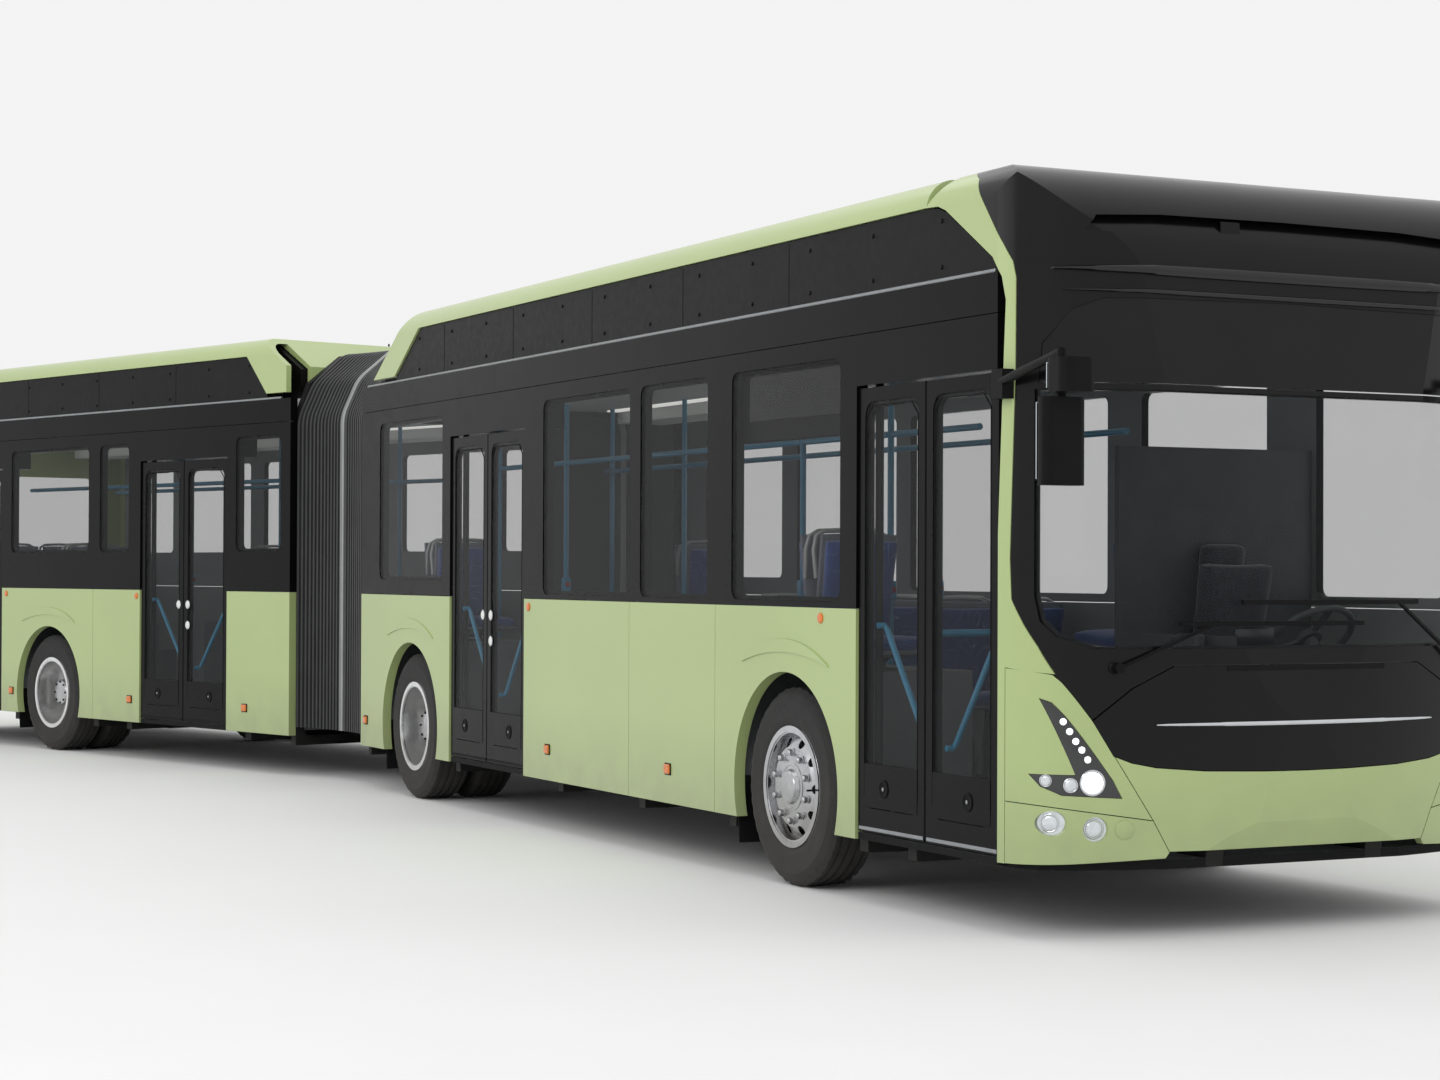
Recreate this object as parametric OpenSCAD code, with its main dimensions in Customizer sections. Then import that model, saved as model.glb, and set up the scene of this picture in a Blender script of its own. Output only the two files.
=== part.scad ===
// Articulated four-door electric city bus, parked with its rear section turned at the joint.
// Millimetres. +X forward, +Y left, +Z up, z = 0 on the ground.
// Pieces are drawn with the front axle at x = 0; place() then centres the whole bus.

/* [Overall] */
// Width over the side walls
body_w = 2550; // [2500:10:2600]
// Height over the roof edge
body_h = 3290; // [3230:10:3350]
// Front axle to the foremost point
nose_x = 2482; // [2460:2:2520]
// Front axle to the middle axle
axle2 = 5620; // [5500:10:5800]
// Front axle to the pivot of the joint
pivot = 7460; // [7340:10:7640]
// Front axle to the rear axle, with the bus straight
axle3 = 12047; // [11900:1:12400]
// Front axle to the rear end, with the bus straight
tail = 15500; // [15350:10:16000]
// Angle of the rear section at the joint, as parked
bend = 15.5; // [0:0.5:30]

/* [Body] */
// Thickness of walls and panels
wall = 60; // [50:5:70]
// Shut line between neighbouring panels
gap = 4; // [3:1:6]
// Lower edge of the skirt
skirt_z = 298; // [285:1:310]
// Top of the painted lower body
belt_z = 1365; // [1340:5:1390]
// Lower edge of the side glass
glass_z0 = 1395; // [1390:5:1450]
// Upper edge of the side glass, below the top of the window band
glass_drop = 95; // [80:5:140]
// Lower edge of the side glass of the rear section
glass_z0_rear = 1670; // [1600:10:1720]
// Top of the window band, below the top of the side wall
seam_drop = 175; // [155:5:195]
// Top of the side wall, below the top of the roof edge
cant_drop = 475; // [460:5:500]
// Height of the painted roof edge
edge_h = 135; // [110:5:160]
// Corner radius along the roof edge
roof_r = 150; // [100:10:180]
// Half length of the gap at the joint
joint_half = 790; // [760:10:820]

/* [Nose] */
// Radius of the nose seen from above
front_r = 3200; // [3000:50:3600]
// Radius of the nose's corners seen from above
corner_r = 350; // [320:10:380]
// Radius of the dome above the windscreen
dome_r = 520; // [480:10:560]
// Rake of the windscreen in degrees
rake = 3; // [2:0.5:4]
// Thickness of the nose panels
nose_t = 45; // [35:5:50]

/* [Floor] */
// Top of the floor
floor_z = 330; // [320:5:345]
// Thickness of the floor
floor_t = 40; // [35:1:45]
// Inner face of the wheel boxes, in from the side wall
box_in = 700; // [685:5:715]
// Radius of the wheel arches
arch_r = 562; // [550:2:580]
// Underside of the ceiling, below the top of the side wall
ceil_drop = 115; // [95:10:135]

/* [Wheels] */
// Radius of the tyres
tyre_r = 485; // [475:1:490]
// Width of a tyre
tyre_w = 276; // [260:2:280]
// Outer face of the tyres, in from the side wall
tyre_in = 30; // [20:1:40]
// Radius of the rim's edge
rim_r = 298; // [290:1:300]
// Distance between the middles of twin tyres
twin = 312; // [308:1:320]
// Kingpin, in from the outer face of the tyre
king_in = 185; // [175:1:195]
// Radius of the wheel spindles
spindle_r = 45; // [40:1:48]

/* [Doors] */
// Top of the door openings, below the top of the window band
door_drop = 240; // [220:5:260]
// Depth of the leaf behind the side wall
door_in = 12; // [8:1:16]
// Thickness of a leaf
leaf_t = 40; // [34:1:44]
// Distance of the turning post from the jamb
post_in = 75; // [72:1:84]
// Radius of the turning post
post_r = 20; // [16:1:22]
// Clearance of a leaf to its jamb
leaf_gap = 7; // [6:1:10]
// Running clearance of pins in their bores
fit = 0.3; // [0.2:0.1:0.5]

/* [Hidden] */
$fn = 48;
half = body_w/2;
inner = half - wall;
cant_z = body_h - cant_drop;
seam_z = cant_z - seam_drop;
glass_z1 = seam_z - glass_drop;
door_z1 = seam_z - door_drop;
ceil_z = cant_z - ceil_drop;
edge_z = body_h - edge_h;
box_y = half - box_in;
rail_y0 = box_y - 195;
rail_y1 = rail_y0 + 90;
tyre_y = half - tyre_in;
king_y = tyre_y - king_in;
seat_y = inner - 265;
row_y = seat_y - 520;
driver_y = inner - 595;
tail_y = half - 325;
tail_z0 = 1600;
tail_z1 = glass_z1 - 95;
tail_lamp_y = half - 255;
tow_y = 409 - half;
tow_z = 462;
fogs = [[half - 125, 491], [half - 289, 466]];
x2 = -axle2;
xp = -pivot;
x3 = -axle3;
xt = -tail;
end1 = xp + joint_half;
end2 = xp - joint_half;
tyre_mid = tyre_y - tyre_w/2;
bead_r = rim_r - 13;
well_r = bead_r - 17;
leaf_y = half - door_in;
post_y = leaf_y - leaf_t - 30;
rail_z = floor_z - floor_t;
big_x = nose_x - front_r;
corner_s = (half - corner_r)/(front_r - corner_r);
corner_x = big_x + (front_r - corner_r)*sqrt(1 - corner_s*corner_s);
rake_z = 900;
dome_z = body_h - dome_r;
dome_x = nose_x - (dome_r + (dome_z - rake_z)*sin(rake))/cos(rake);
jamb = nose_x - 480;
tip = jamb + 6;
pod_z = cant_z + 5;
rail_r = 17;
// Box round the parked bus, for the origin
far_x = xp + (xt - xp)*cos(bend) - half*sin(bend);
far_y = (xt - xp)*sin(bend) - half*cos(bend);
org_x = (far_x + tip + 740)/2;
org_y = (far_y + half + 165)/2;

// Door openings: rear jamb, front jamb
d1 = [jamb - 1262, jamb];
d2 = [x2 + 790, x2 + 2112];
d3 = [x3 + 1557, x3 + 2897];
d4 = [x3 - 2193, x3 - 853];

// Painted panels below the belt: rear edge, front edge
right_front_skirt = [[d1[0] - 1536, d1[0]], [d1[0] - 2650, d1[0] - 1536], [d2[1], d1[0] - 2650], [end1,
  d2[0]]];
left_front_skirt = concat([[d1[0], d1[1]], [d2[0], d2[1]]], right_front_skirt);
right_rear_skirt = [[d3[1], end2], [x3 + 780, d3[0]], [d4[1], x3 + 780], [xt + 170, d4[0]]];
left_rear_skirt = concat([[d3[0], d3[1]], [d4[0], d4[1]]], right_rear_skirt);

// Side glass: rear edge, front edge, lower edge
right_front_glass = [[d1[0] - 1345, d1[0] - 163, glass_z0], [d1[0] - 2504, d1[0] - 1637, glass_z0],
  [d2[1] + 305, d1[0] - 2651, glass_z0], [end1 + 400, d2[0] - 152, glass_z0 + 75]];
left_front_glass = concat([[d1[0] + 200, d1[1] - 60, glass_z0 - 120 + 125], [d2[0] + 40, d2[1] + 165,
  glass_z0]],
  right_front_glass);
right_rear_glass = [[d3[1] + 130, end2 - 130, glass_z0_rear], [d3[0] - 670, d3[0] - 190, glass_z0_rear],
  [d4[1] + 170, d3[0] - 860, glass_z0_rear], [xt + 480, d4[0] - 110, glass_z0_rear]];
left_rear_glass = concat([[d3[0] + 20, d3[1] - 20, glass_z0_rear], [d4[0] + 20, d4[1] - 20, glass_z0_rear]],
  right_rear_glass);

// Painted A-pillar and roof edge seen from the side: front edge upwards, then rear edge downwards
pillar_front = [[tip + 46, 312], [tip + 46, 1138], [tip + 242, 1114], [tip + 189, 1231], [tip + 137, 1320],
  [tip + 80, 1425], [tip + 72, 1600], [tip + 98, body_h - 890], [tip + 100, body_h - 510], [tip + 84,
    body_h - 440],
  [tip + 32, body_h - 365], [tip - 218, body_h - 55], [tip - 318, body_h - 15], [tip - 448, body_h + 10]];
pillar_rear = [[tip - 628, edge_z], [tip - 518, edge_z - 5], [tip - 448, edge_z - 30],
  [tip - 48, body_h - 410], [tip + 22, body_h - 500], [tip + 47, body_h - 600], [tip + 33, body_h - 890],
  [tip, 1700], [tip, 312]];
front_tail = [[end1 + 1030, body_h + 10], [end1 + 250, pod_z + 40], [end1 + 700, pod_z + 40],
  [end1 + 1200, edge_z]];
rear_edge = [[end2 - 62, pod_z + 40], [end2 - 62, body_h - 230], [end2 - 480, body_h + 10], [xt + 60,
  body_h + 10],
  [xt + 60, edge_z], [end2 - 625, edge_z], [end2 - 340, pod_z + 40]];

// Nose panels seen from the front, one half: lower edge of the black mask, then the seams
mask_edge = [[0, 692], [217, 694], [511, 701], [half - 545, 718], [half - 439, 739], [half - 362, 769],
  [half - 273, 919], [half - 155, 1079], [half - 124, 1110]];
screen = [[0, 1218], [half - 272, 1218], [half - 135, 1270], [half - 85, 1335], [half - 70, 1440],
  [half - 70, body_h - 984], [0, body_h - 984]];
header = [[0, body_h - 956], [half - 80, body_h - 956], [half - 90, body_h - 790], [half - 185,
  body_h - 650],
  [half - 315, body_h - 600], [0, body_h - 586]];
headlamp = [[half - 83, 1014], [half - 124, 996], [half - 171, 939], [half - 273, 798], [half - 362, 669],
  [half - 401, 592], [half - 156, 607], [half - 88, 643], [half - 55, 696], [half - 206, 694],
  [half - 156, 824]];

// Node to draw

// Helpers

module place() translate([-org_x, -org_y, 0]) children();

module at_rear() translate([xp, 0, 0]) rotate([0, 0, bend]) translate([-xp, 0, 0]) children();

module slab(x0, x1, y0, y1, z0, z1) translate([x0, y0, z0]) cube([x1 - x0, y1 - y0, z1 - z0]);

module along_x(x0, x1) translate([x0, 0, 0]) rotate([90, 0, 90]) linear_extrude(x1 - x0) children();

module along_y(y0, y1) translate([0, y1, 0]) rotate([90, 0, 0]) linear_extrude(y1 - y0) children();

module along_z(z0, z1) translate([0, 0, z0]) linear_extrude(z1 - z0) children();

module both() {
  children();
  mirror([0, 1, 0]) children();
}

module rr(x0, x1, z0, z1, r) {
  translate([x0 + r, z0]) square([x1 - x0 - 2*r, z1 - z0]);
  translate([x0, z0 + r]) square([x1 - x0, z1 - z0 - 2*r]);
  for (x = [x0 + r, x1 - r], z = [z0 + r, z1 - r]) translate([x, z]) circle(r);
}

module rod(p, q, r) {
  v = q - p;
  n = norm(v);
  translate(p) rotate([0, acos(v[2]/n), atan2(v[1], v[0])]) cylinder(r = r, h = n);
}

// Square bar between two points, w wide
module bar(p, q, w) {
  v = q - p;
  n = norm(v);
  translate(p) rotate([0, acos(v[2]/n), atan2(v[1], v[0])]) translate([-w/2, -w/2, 0]) cube([w, w, n]);
}

// Both halves of a front view outline
module mirrored(points)
  polygon(concat(points, [for (i = [len(points) - 1:-1:0]) if (points[i][0] > 0) [-points[i][0],
    points[i][1]]]));

// Strip of width w along a line between two points
module seam2d(p, q, w) {
  d = (q - p)/norm(q - p);
  n = [-d[1], d[0]]*w/2;
  polygon([p + n - d*w/2, q + n + d*w/2, q - n + d*w/2, p - n - d*w/2]);
}

// Nose surface set in by t, seen from above, from the front and from the side

module plan(t) {
  ty = (front_r - t)*corner_s;
  intersection() {
    translate([big_x, 0]) circle(front_r - t, $fn = 360);
    translate([-300, -ty]) square([nose_x + 400, 2*ty]);
  }
  translate([-300, -half + t]) square([corner_x + 300, 2*half - 2*t]);
  for (s = [-1, 1]) translate([corner_x, s*(half - corner_r)]) circle(corner_r - t, $fn = 96);
}

module end_view(t) rr(-half + t, half - t, -2*roof_r, body_h - t, roof_r - t);

module profile(t) {
  translate([dome_x, dome_z]) circle(dome_r - t, $fn = 96);
  polygon([[-300, 0], [nose_x - 70 - t, 0], [nose_x - 50 - t, 330], [nose_x - 10 - t, 480], [nose_x - t,
    rake_z],
    [dome_x + (dome_r - t)*cos(rake), dome_z + (dome_r - t)*sin(rake)], [dome_x, dome_z],
    [dome_x, body_h - t], [-300, body_h - t]]);
}

module nose(t) intersection() {
  along_z(0, body_h + 20) plan(t);
  along_x(-300, nose_x + 60) end_view(t);
  along_y(-half - 20, half + 20) profile(t);
}

module nose_or_body(t) {
  nose(t);
  slab(2*xt, 0, -half, half, 0, body_h);
}

module nose_shell(t0, t1) difference() {
  nose(t0);
  nose(t1);
}

// Side walls

module crescent(x) translate([x, 0]) intersection() {
  difference() {
    translate([0, tyre_r - 250]) circle(973, $fn = 96);
    translate([0, tyre_r - 1210]) circle(1870, $fn = 96);
  }
  translate([-470, tyre_r + 400]) square([940, 500]);
}

module skirt_side(list, axles) for (s = list) {
  difference() {
    slab(s[0] + gap/2, s[1] - gap/2, inner, half, skirt_z, belt_z);
    for (a = axles) translate([a, half + 1, tyre_r]) rotate([90, 0, 0]) cylinder(r = arch_r, h = wall + 2);
  }
  for (a = axles)
    if (a > s[0] && a < s[1])
      along_y(half - 1, half + 8) crescent(a);
}

module glass_cuts(list) for (g = list) {
  along_y(inner - 1, half + 1) rr(g[0] + 22, g[1] - 22, g[2] + 22, glass_z1 - 22, 45);
  along_y(half - 14, half + 1) rr(g[0], g[1], g[2], glass_z1, 60);
}

module panes(list) for (g = list)
  along_y(half - 14, half - 4) rr(g[0] + 2, g[1] - 2, g[2] + 2, glass_z1 - 2, 58);

module band_side(x0, x1, list, doors) {
  difference() {
    union() {
      slab(x0, x1, inner, half, belt_z + gap, seam_z - gap/2);
      for (d = doors) slab(d[0] - 20, d[1] + (d[1] > jamb - 1 ? 0 : 20), inner - 190, inner + 1, door_z1,
        seam_z - gap/2);
    }
    glass_cuts(list);
    for (d = doors) {
      slab(d[0], d[1] + (d[1] > jamb - 1 ? 40 : 0), inner - 1, half + 1, belt_z - 1, door_z1);
      for (x = [d[0] + post_in, d[1] - post_in])
        translate([x, post_y, door_z1 - 1]) cylinder(r = post_r + fit, h = 31);
    }
  }
  slab(x0, x1, inner, half, seam_z + gap/2, cant_z);
}

// Roof edge: shell between the end view outlines, kept where the side outline covers it
module roof_edge_side(x0, x1) intersection() {
  difference() {
    along_x(x0, x1) end_view(0);
    along_x(x0 - 1, x1 + 1) end_view(42);
  }
  slab(x0, x1, half - roof_r - 60, half + 1, pod_z, body_h + 1);
  children();
}

// Doors: leaf with its pane, turning post and arms; front leaf hangs on the front jamb

module leaf(d, front) {
  mid = (d[0] + d[1])/2;
  x0 = front ? mid + 8 : d[0] + leaf_gap;
  x1 = front ? d[1] - leaf_gap : mid - 8;
  px = front ? d[1] - post_in : d[0] + post_in;
  ax = front ? px - 260 : px + 260;
  z0 = floor_z + 8;
  z1 = door_z1 - 12;
  mirror([0, 1, 0]) {
    difference() {
      slab(x0, x1, leaf_y - leaf_t, leaf_y, z0, z1);
      along_y(leaf_y - leaf_t - 1, leaf_y + 1) rr(x0 + 75, x1 - 75, z0 + 130, z1 - 85, 60);
      along_y(leaf_y - 14, leaf_y + 1) rr(x0 + 55, x1 - 55, z0 + 110, z1 - 65, 75);
    }
    along_y(leaf_y - 14 + fit, leaf_y - 4) rr(x0 + 57, x1 - 57, z0 + 112, z1 - 67, 73);
    translate([px, post_y, floor_z - 18]) cylinder(r = post_r, h = door_z1 + 22 - floor_z + 18);
    for (z = [z0 + 60, z1 - 70]) {
      slab(px - 16, px + 16, post_y, leaf_y - leaf_t + 1, z - 18, z + 18);
      slab(min(px, ax), max(px, ax), leaf_y - leaf_t - 14, leaf_y - leaf_t + 1, z - 18, z + 18);
    }
  }
}

// Seat seen from the side, extruded across; dir +1 faces forward
module seat(x, y, z, dir, leg) translate([x, y, z]) scale([dir, 1, 1]) {
  along_y(-215, 215) polygon([[250, 0], [262, 45], [235, 72], [-120, 42], [-205, 560], [-240, 600],
    [-270, 590],
    [-285, 540], [-215, -20]]);
  slab(-60, 20, -45, 45, -leg, 1);
}

// Wheels, drawn with the hub axis along Y, outside towards +Y

module spun() rotate([-90, 0, 0]) rotate_extrude($fn = 48) children();

module tyre_at(y) spun() polygon([[bead_r + 1, y - tyre_w/2 + 18], [bead_r + 25, y - tyre_w/2 + 6],
  [tyre_r - 95, y - tyre_w/2], [tyre_r - 32, y - tyre_w/2 + 10], [tyre_r, y - tyre_w/2 + 34],
  [tyre_r, y + tyre_w/2 - 34], [tyre_r - 32, y + tyre_w/2 - 10], [tyre_r - 95, y + tyre_w/2],
  [bead_r + 25, y + tyre_w/2 - 6], [bead_r + 1, y + tyre_w/2 - 18]]);

module barrel(y) {
  polygon([[well_r, y - tyre_w/2 + 5], [rim_r, y - tyre_w/2 + 5], [rim_r, y - tyre_w/2 + 12],
    [bead_r, y - tyre_w/2 + 18], [bead_r, y + tyre_w/2 - 18], [rim_r, y + tyre_w/2 - 12],
    [rim_r, y + tyre_w/2 - 5], [well_r, y + tyre_w/2 - 5]]);
}

module hand_holes(y, r) for (i = [0:9])
  rotate([0, i*36, 0]) translate([r, y, 0]) rotate([90, 0, 0]) cylinder(r = 24, h = 200, center = true,
    $fn = 24);

module front_rim() difference() {
  spun() {
    barrel(tyre_mid);
    polygon([[spindle_r + fit, tyre_y - 86], [92, tyre_y - 86], [96, tyre_y - 42], [190, tyre_y - 46],
      [well_r + 1, tyre_y - 75], [well_r + 1, tyre_y - 58], [200, tyre_y - 22], [120, tyre_y - 14],
      [88, tyre_y - 10], [80, tyre_y + 8], [0, tyre_y + 10], [0, tyre_y - 6], [spindle_r + fit,
      tyre_y - 6]]);
  }
  hand_holes(tyre_y - 50, 222);
}

module twin_rim() difference() {
  spun() {
    barrel(tyre_mid);
    barrel(tyre_mid - twin);
    polygon([[spindle_r + fit, tyre_mid - 190], [125, tyre_mid - 190], [125, tyre_mid - 167],
      [well_r + 1, tyre_mid - 167],
      [well_r + 1, tyre_mid - 145], [135, tyre_mid - 145], [118, tyre_mid - 60], [108, tyre_mid - 45],
      [0, tyre_mid - 45],
      [0, tyre_mid - 62], [spindle_r + fit, tyre_mid - 62]]);
    polygon([[well_r, tyre_mid - twin + tyre_w/2 - 6], [bead_r - 4, tyre_mid - twin + tyre_w/2 - 6],
      [bead_r - 4, tyre_mid - tyre_w/2 + 6], [well_r, tyre_mid - tyre_w/2 + 6]]);
  }
  hand_holes(tyre_mid - 156, 215);
}

module at_axle(x) translate([x, 0, tyre_r]) children();

// Knuckle on the left: fork round the axle's eye, kingpin and spindle
module knuckle() {
  ky = king_y;
  difference() {
    union() {
      for (z = [tyre_r + 58, tyre_r - 118]) {
        translate([0, ky, z]) cylinder(r = 55, h = 60);
        slab(-50, 50, ky, ky + 88, z, z + 60);
      }
      slab(-60, 60, ky + 64, ky + 90, tyre_r - 118, tyre_r + 118);
    }
  }
  translate([0, ky, tyre_r - 118]) cylinder(r = 24, h = 236);
  translate([0, ky + 66, tyre_r]) rotate([-90, 0, 0]) cylinder(r = spindle_r, h = tyre_y - 12 - ky - 66);
  slab(-200, -40, ky - 20, ky + 20, tyre_r - 112, tyre_r - 82);
}

// Cross beam of a twin-wheel axle with its stub spindles
module twin_axle() {
  slab(-70, 70, -box_y - 70, box_y + 70, 150, 212);
  both() {
    slab(-95, 95, box_y + 12, box_y + 70, 150, tyre_r + 90);
    at_axle(0) translate([0, box_y + 60, 0]) rotate([-90, 0, 0])
      cylinder(r = spindle_r, h = tyre_mid - 70 - box_y - 60);
    at_axle(0) translate([0, box_y + 60, 0]) rotate([-90, 0, 0]) cylinder(r = 150, h = 40);
    slab(-70, 70, rail_y0, rail_y1, 205, 222);
  }
}

// Floor plate, cut out for the wheel boxes
module deck(x0, x1, axles) difference() {
  slab(x0, x1, -inner, inner, rail_z, floor_z);
  for (a = axles) both() slab(a - arch_r - 35 - fit, a + arch_r + 35 + fit, box_y - 15 - fit, inner + 1,
    rail_z - 1, floor_z + 1);
}

// Wheel boxes, let into the floor plate
module wheel_boxes(axles) for (a = axles) both() difference() {
  slab(a - arch_r - 35, a + arch_r + 35, box_y - 15, inner, rail_z, tyre_r + arch_r + 18);
  slab(a - arch_r - 20, a + arch_r + 20, box_y, inner + 1, rail_z - 1, tyre_r + arch_r + 3);
}

module sills(doors) for (d = doors) mirror([0, 1, 0]) {
  slab(d[0] + 3, d[1] - 3, inner - 1, half - 14, skirt_z, floor_z);
}

module post_bores(doors) for (d = doors, x = [d[0] + post_in, d[1] - post_in])
  translate([x, -post_y, floor_z - 24]) cylinder(r = post_r + fit, h = 30);

module rails(x0, x1, list) {
  both() slab(x0, x1, rail_y0, rail_y1, 222, rail_z);
  for (x = list) slab(x - 40, x + 40, -inner + 20, inner - 20, 230, rail_z);
}

// End frame at the joint from z0 up, with slanted shoulders like the bellows
module hoop(x0, x1, z0) along_x(x0, x1) difference() {
  mirrored([[0, z0], [inner, z0], [inner, cant_z - 155], [inner - 110, cant_z + 115], [inner - 395,
    body_h - 140],
    [0, body_h - 140]]);
  rr(-inner + 75, inner - 75, rail_z, ceil_z - 30, 50);
}

// Function of the nose surface: x of the outer face at a point of the front view
function nose_at(y, z) = min(big_x + sqrt(front_r*front_r - y*y), nose_x - max(0, z - rake_z)*tan(rake));

// Sub-parts of the front section

module front_frame() color("#2b2d2f") place() {
  rails(end1 + 60 + fit, d1[0] + 500, [d1[0] + 400, d1[0] - 60, -d1[0], -1900, -3100, d2[0] - 40,
    x2 - 650]);
  hoop(end1, end1 + 60, 230 + fit);
  difference() {
    union() {
      slab(xp, end1 + 80, -330, 330, 170, 222);
      translate([xp, 0, 170]) cylinder(r = 560, h = 52);
      slab(end1 + 10, end1 + 140, -rail_y1, rail_y1, 170, 230);
    }
    translate([xp, 0, 160]) cylinder(r = 120 + fit, h = 80);
  }
  // Nose beams behind the bumper and the mask, on brackets that stand in the floor
  difference() {
    union() {
      intersection() {
        nose_shell(nose_t, nose_t + 40);
        for (z = [[405, 520], [640, 722]]) slab(tip + 70, nose_x, -half, half, z[0], z[1]);
      }
      intersection() {
        nose(nose_t + 1);
        both() slab(nose_x - 310, nose_x, rail_y0, rail_y1, rail_z, 700);
      }
    }
    translate([nose_x - 311, tow_y, tow_z]) rotate([0, 90, 0]) cylinder(r = 36 + fit, h = 400);
  }
  // Tow socket, a sleeve through the lower beam
  translate([nose_x - 310, tow_y, tow_z]) rotate([0, 90, 0]) difference() {
    cylinder(r = 36, h = 130);
    translate([0, 0, -1]) cylinder(r = 20, h = 132);
  }
}

module front_floor() color("#6f7375") place() {
  difference() {
    union() {
      deck(end1 + 62, d1[0] - 30, [0, x2]);
      intersection() {
        slab(d1[0] - 31, nose_x, -inner, inner, rail_z, floor_z);
        nose(nose_t);
      }
      slab(end1, end1 + 63, -inner + 130, inner - 130, rail_z, floor_z);
      sills([d1, d2]);
    }
    post_bores([d1, d2]);
    both() slab(nose_x - 310 - fit, nose_x, rail_y0 - fit, rail_y1 + fit, rail_z - 1, floor_z + 1);
  }
  wheel_boxes([0, x2]);
  // Driver's platform
  slab(d1[0] + 250, nose_x - 700, 120, inner - 5, floor_z + fit, floor_z + 240);
}

module front_side_panels() color("#b4c48f") place() {
  skirt_side(left_front_skirt, [0, x2]);
  mirror([0, 1, 0]) skirt_side(right_front_skirt, [0, x2]);
}

module front_window_band() color("#26282a") place() {
  band_side(end1, jamb, left_front_glass, []);
  mirror([0, 1, 0]) band_side(end1, jamb, right_front_glass, [d1, d2]);
}

module front_windows() color("#3a4044") place() {
  panes(left_front_glass);
  mirror([0, 1, 0]) panes(right_front_glass);
}

module front_roof() color("#c9ccca") place() {
  intersection() {
    slab(end1 + 60, nose_x, -inner, inner, ceil_z, cant_z);
    nose_or_body(nose_t);
  }
  both() slab(end1 + 200, jamb - 500, inner - 615, inner - 265, ceil_z - 90, ceil_z + 1);
}

module front_roof_pod() color("#2a2c2e") place() {
  deck_y = half - roof_r - 10;
  along_y(-deck_y, deck_y) polygon([[end1 + 345, cant_z], [end1 + 345, pod_z + 44], [end1 + 1056,
    body_h - 42],
    [tip - 452, body_h - 42], [tip - 452, cant_z]]);
  both() along_y(deck_y - 1, half - 12) polygon([[end1 + 712, pod_z], [end1 + 712, pod_z + 40],
    [end1 + 1208, edge_z - gap], [tip - 640, edge_z - gap], [tip - 535, edge_z - 3*gap], [tip - 460,
    edge_z - 38],
    [tip - 62, body_h - 414], [tip - 25, pod_z]]);
  slab(end1 + 1200, tip - 452, -deck_y + 60, deck_y - 60, body_h - 43, body_h - 8);
}

module front_roof_edge() color("#bccb98") place() {
  both() {
    roof_edge_side(end1, tip - 620) along_y(-half - 1, half + 1)
      polygon(concat([[tip - 400, body_h + 10]], front_tail, [[tip - 400, edge_z]]));
    intersection() {
      nose_shell(0, 40);
      slab(tip - 621, nose_x, half - roof_r - 60, half + 1, 300, body_h + 1);
      along_y(-half - 1, half + 1) polygon(concat(pillar_front, pillar_rear));
    }
  }
  along_y(-half + roof_r + 59, half - roof_r - 59)
    polygon([[end1 + 250, pod_z + 40], [end1 + 1014, body_h], [end1 + 1150, body_h], [end1 + 1150,
      body_h - 42],
      [end1 + 1045, body_h - 42], [end1 + 330, pod_z + 40]]);
}

module front_mask() color("#1d1f20") place() difference() {
  intersection() {
    nose_shell(0, nose_t);
    union() {
      along_x(1300, nose_x + 60) mirrored(concat([for (p = mask_edge) [p[0], p[1] + gap]],
        [[half + 30, 1146], [half + 30, body_h + 10], [0, body_h + 10]]));
    }
    along_y(-half - 1, half + 1) polygon(concat([[nose_x + 60, 500], [tip + 60, 500], [tip + 60, 1100]],
      [for (i = [2:len(pillar_front) - 1]) [pillar_front[i][0] + gap, pillar_front[i][1]]],
      [[tip - 480, body_h + 10], [nose_x + 60, body_h + 10]]));
  }
  for (p = [screen, header]) {
    along_x(1900, nose_x + 60) translate([0, 30]) scale([0.978, 0.985]) mirrored(p);
    difference() {
      along_x(1900, nose_x + 60) mirrored(p);
      nose(18);
    }
  }
  difference() {
    along_x(1900, nose_x + 60) mirrored([[0, body_h - 340], [half - 635, body_h - 340], [half - 235,
      body_h - 315],
      [half - 295, body_h - 250], [half - 635, body_h - 228], [0, body_h - 222]]);
    nose(34);
  }
  for (w = wiper_rows)
    translate([nose_x - 300, w[0], w[1]]) rotate([0, 90, 0]) cylinder(r = 22 + fit, h = 400);
  // Shut line of the service hatch
  along_x(2000, nose_x + 60) difference() {
    mirrored([[0, 1152], [half - 625, 1150], [half - 439, 1055], [half - 259, 912], [half - 259, 600],
      [0, 600]]);
    mirrored([[0, 1152 - gap], [half - 625 - gap/2, 1150 - gap], [half - 439 - gap, 1055 - gap],
      [half - 261 - gap, 912 - gap], [half - 261 - gap, 600], [0, 600]]);
  }
}

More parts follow.
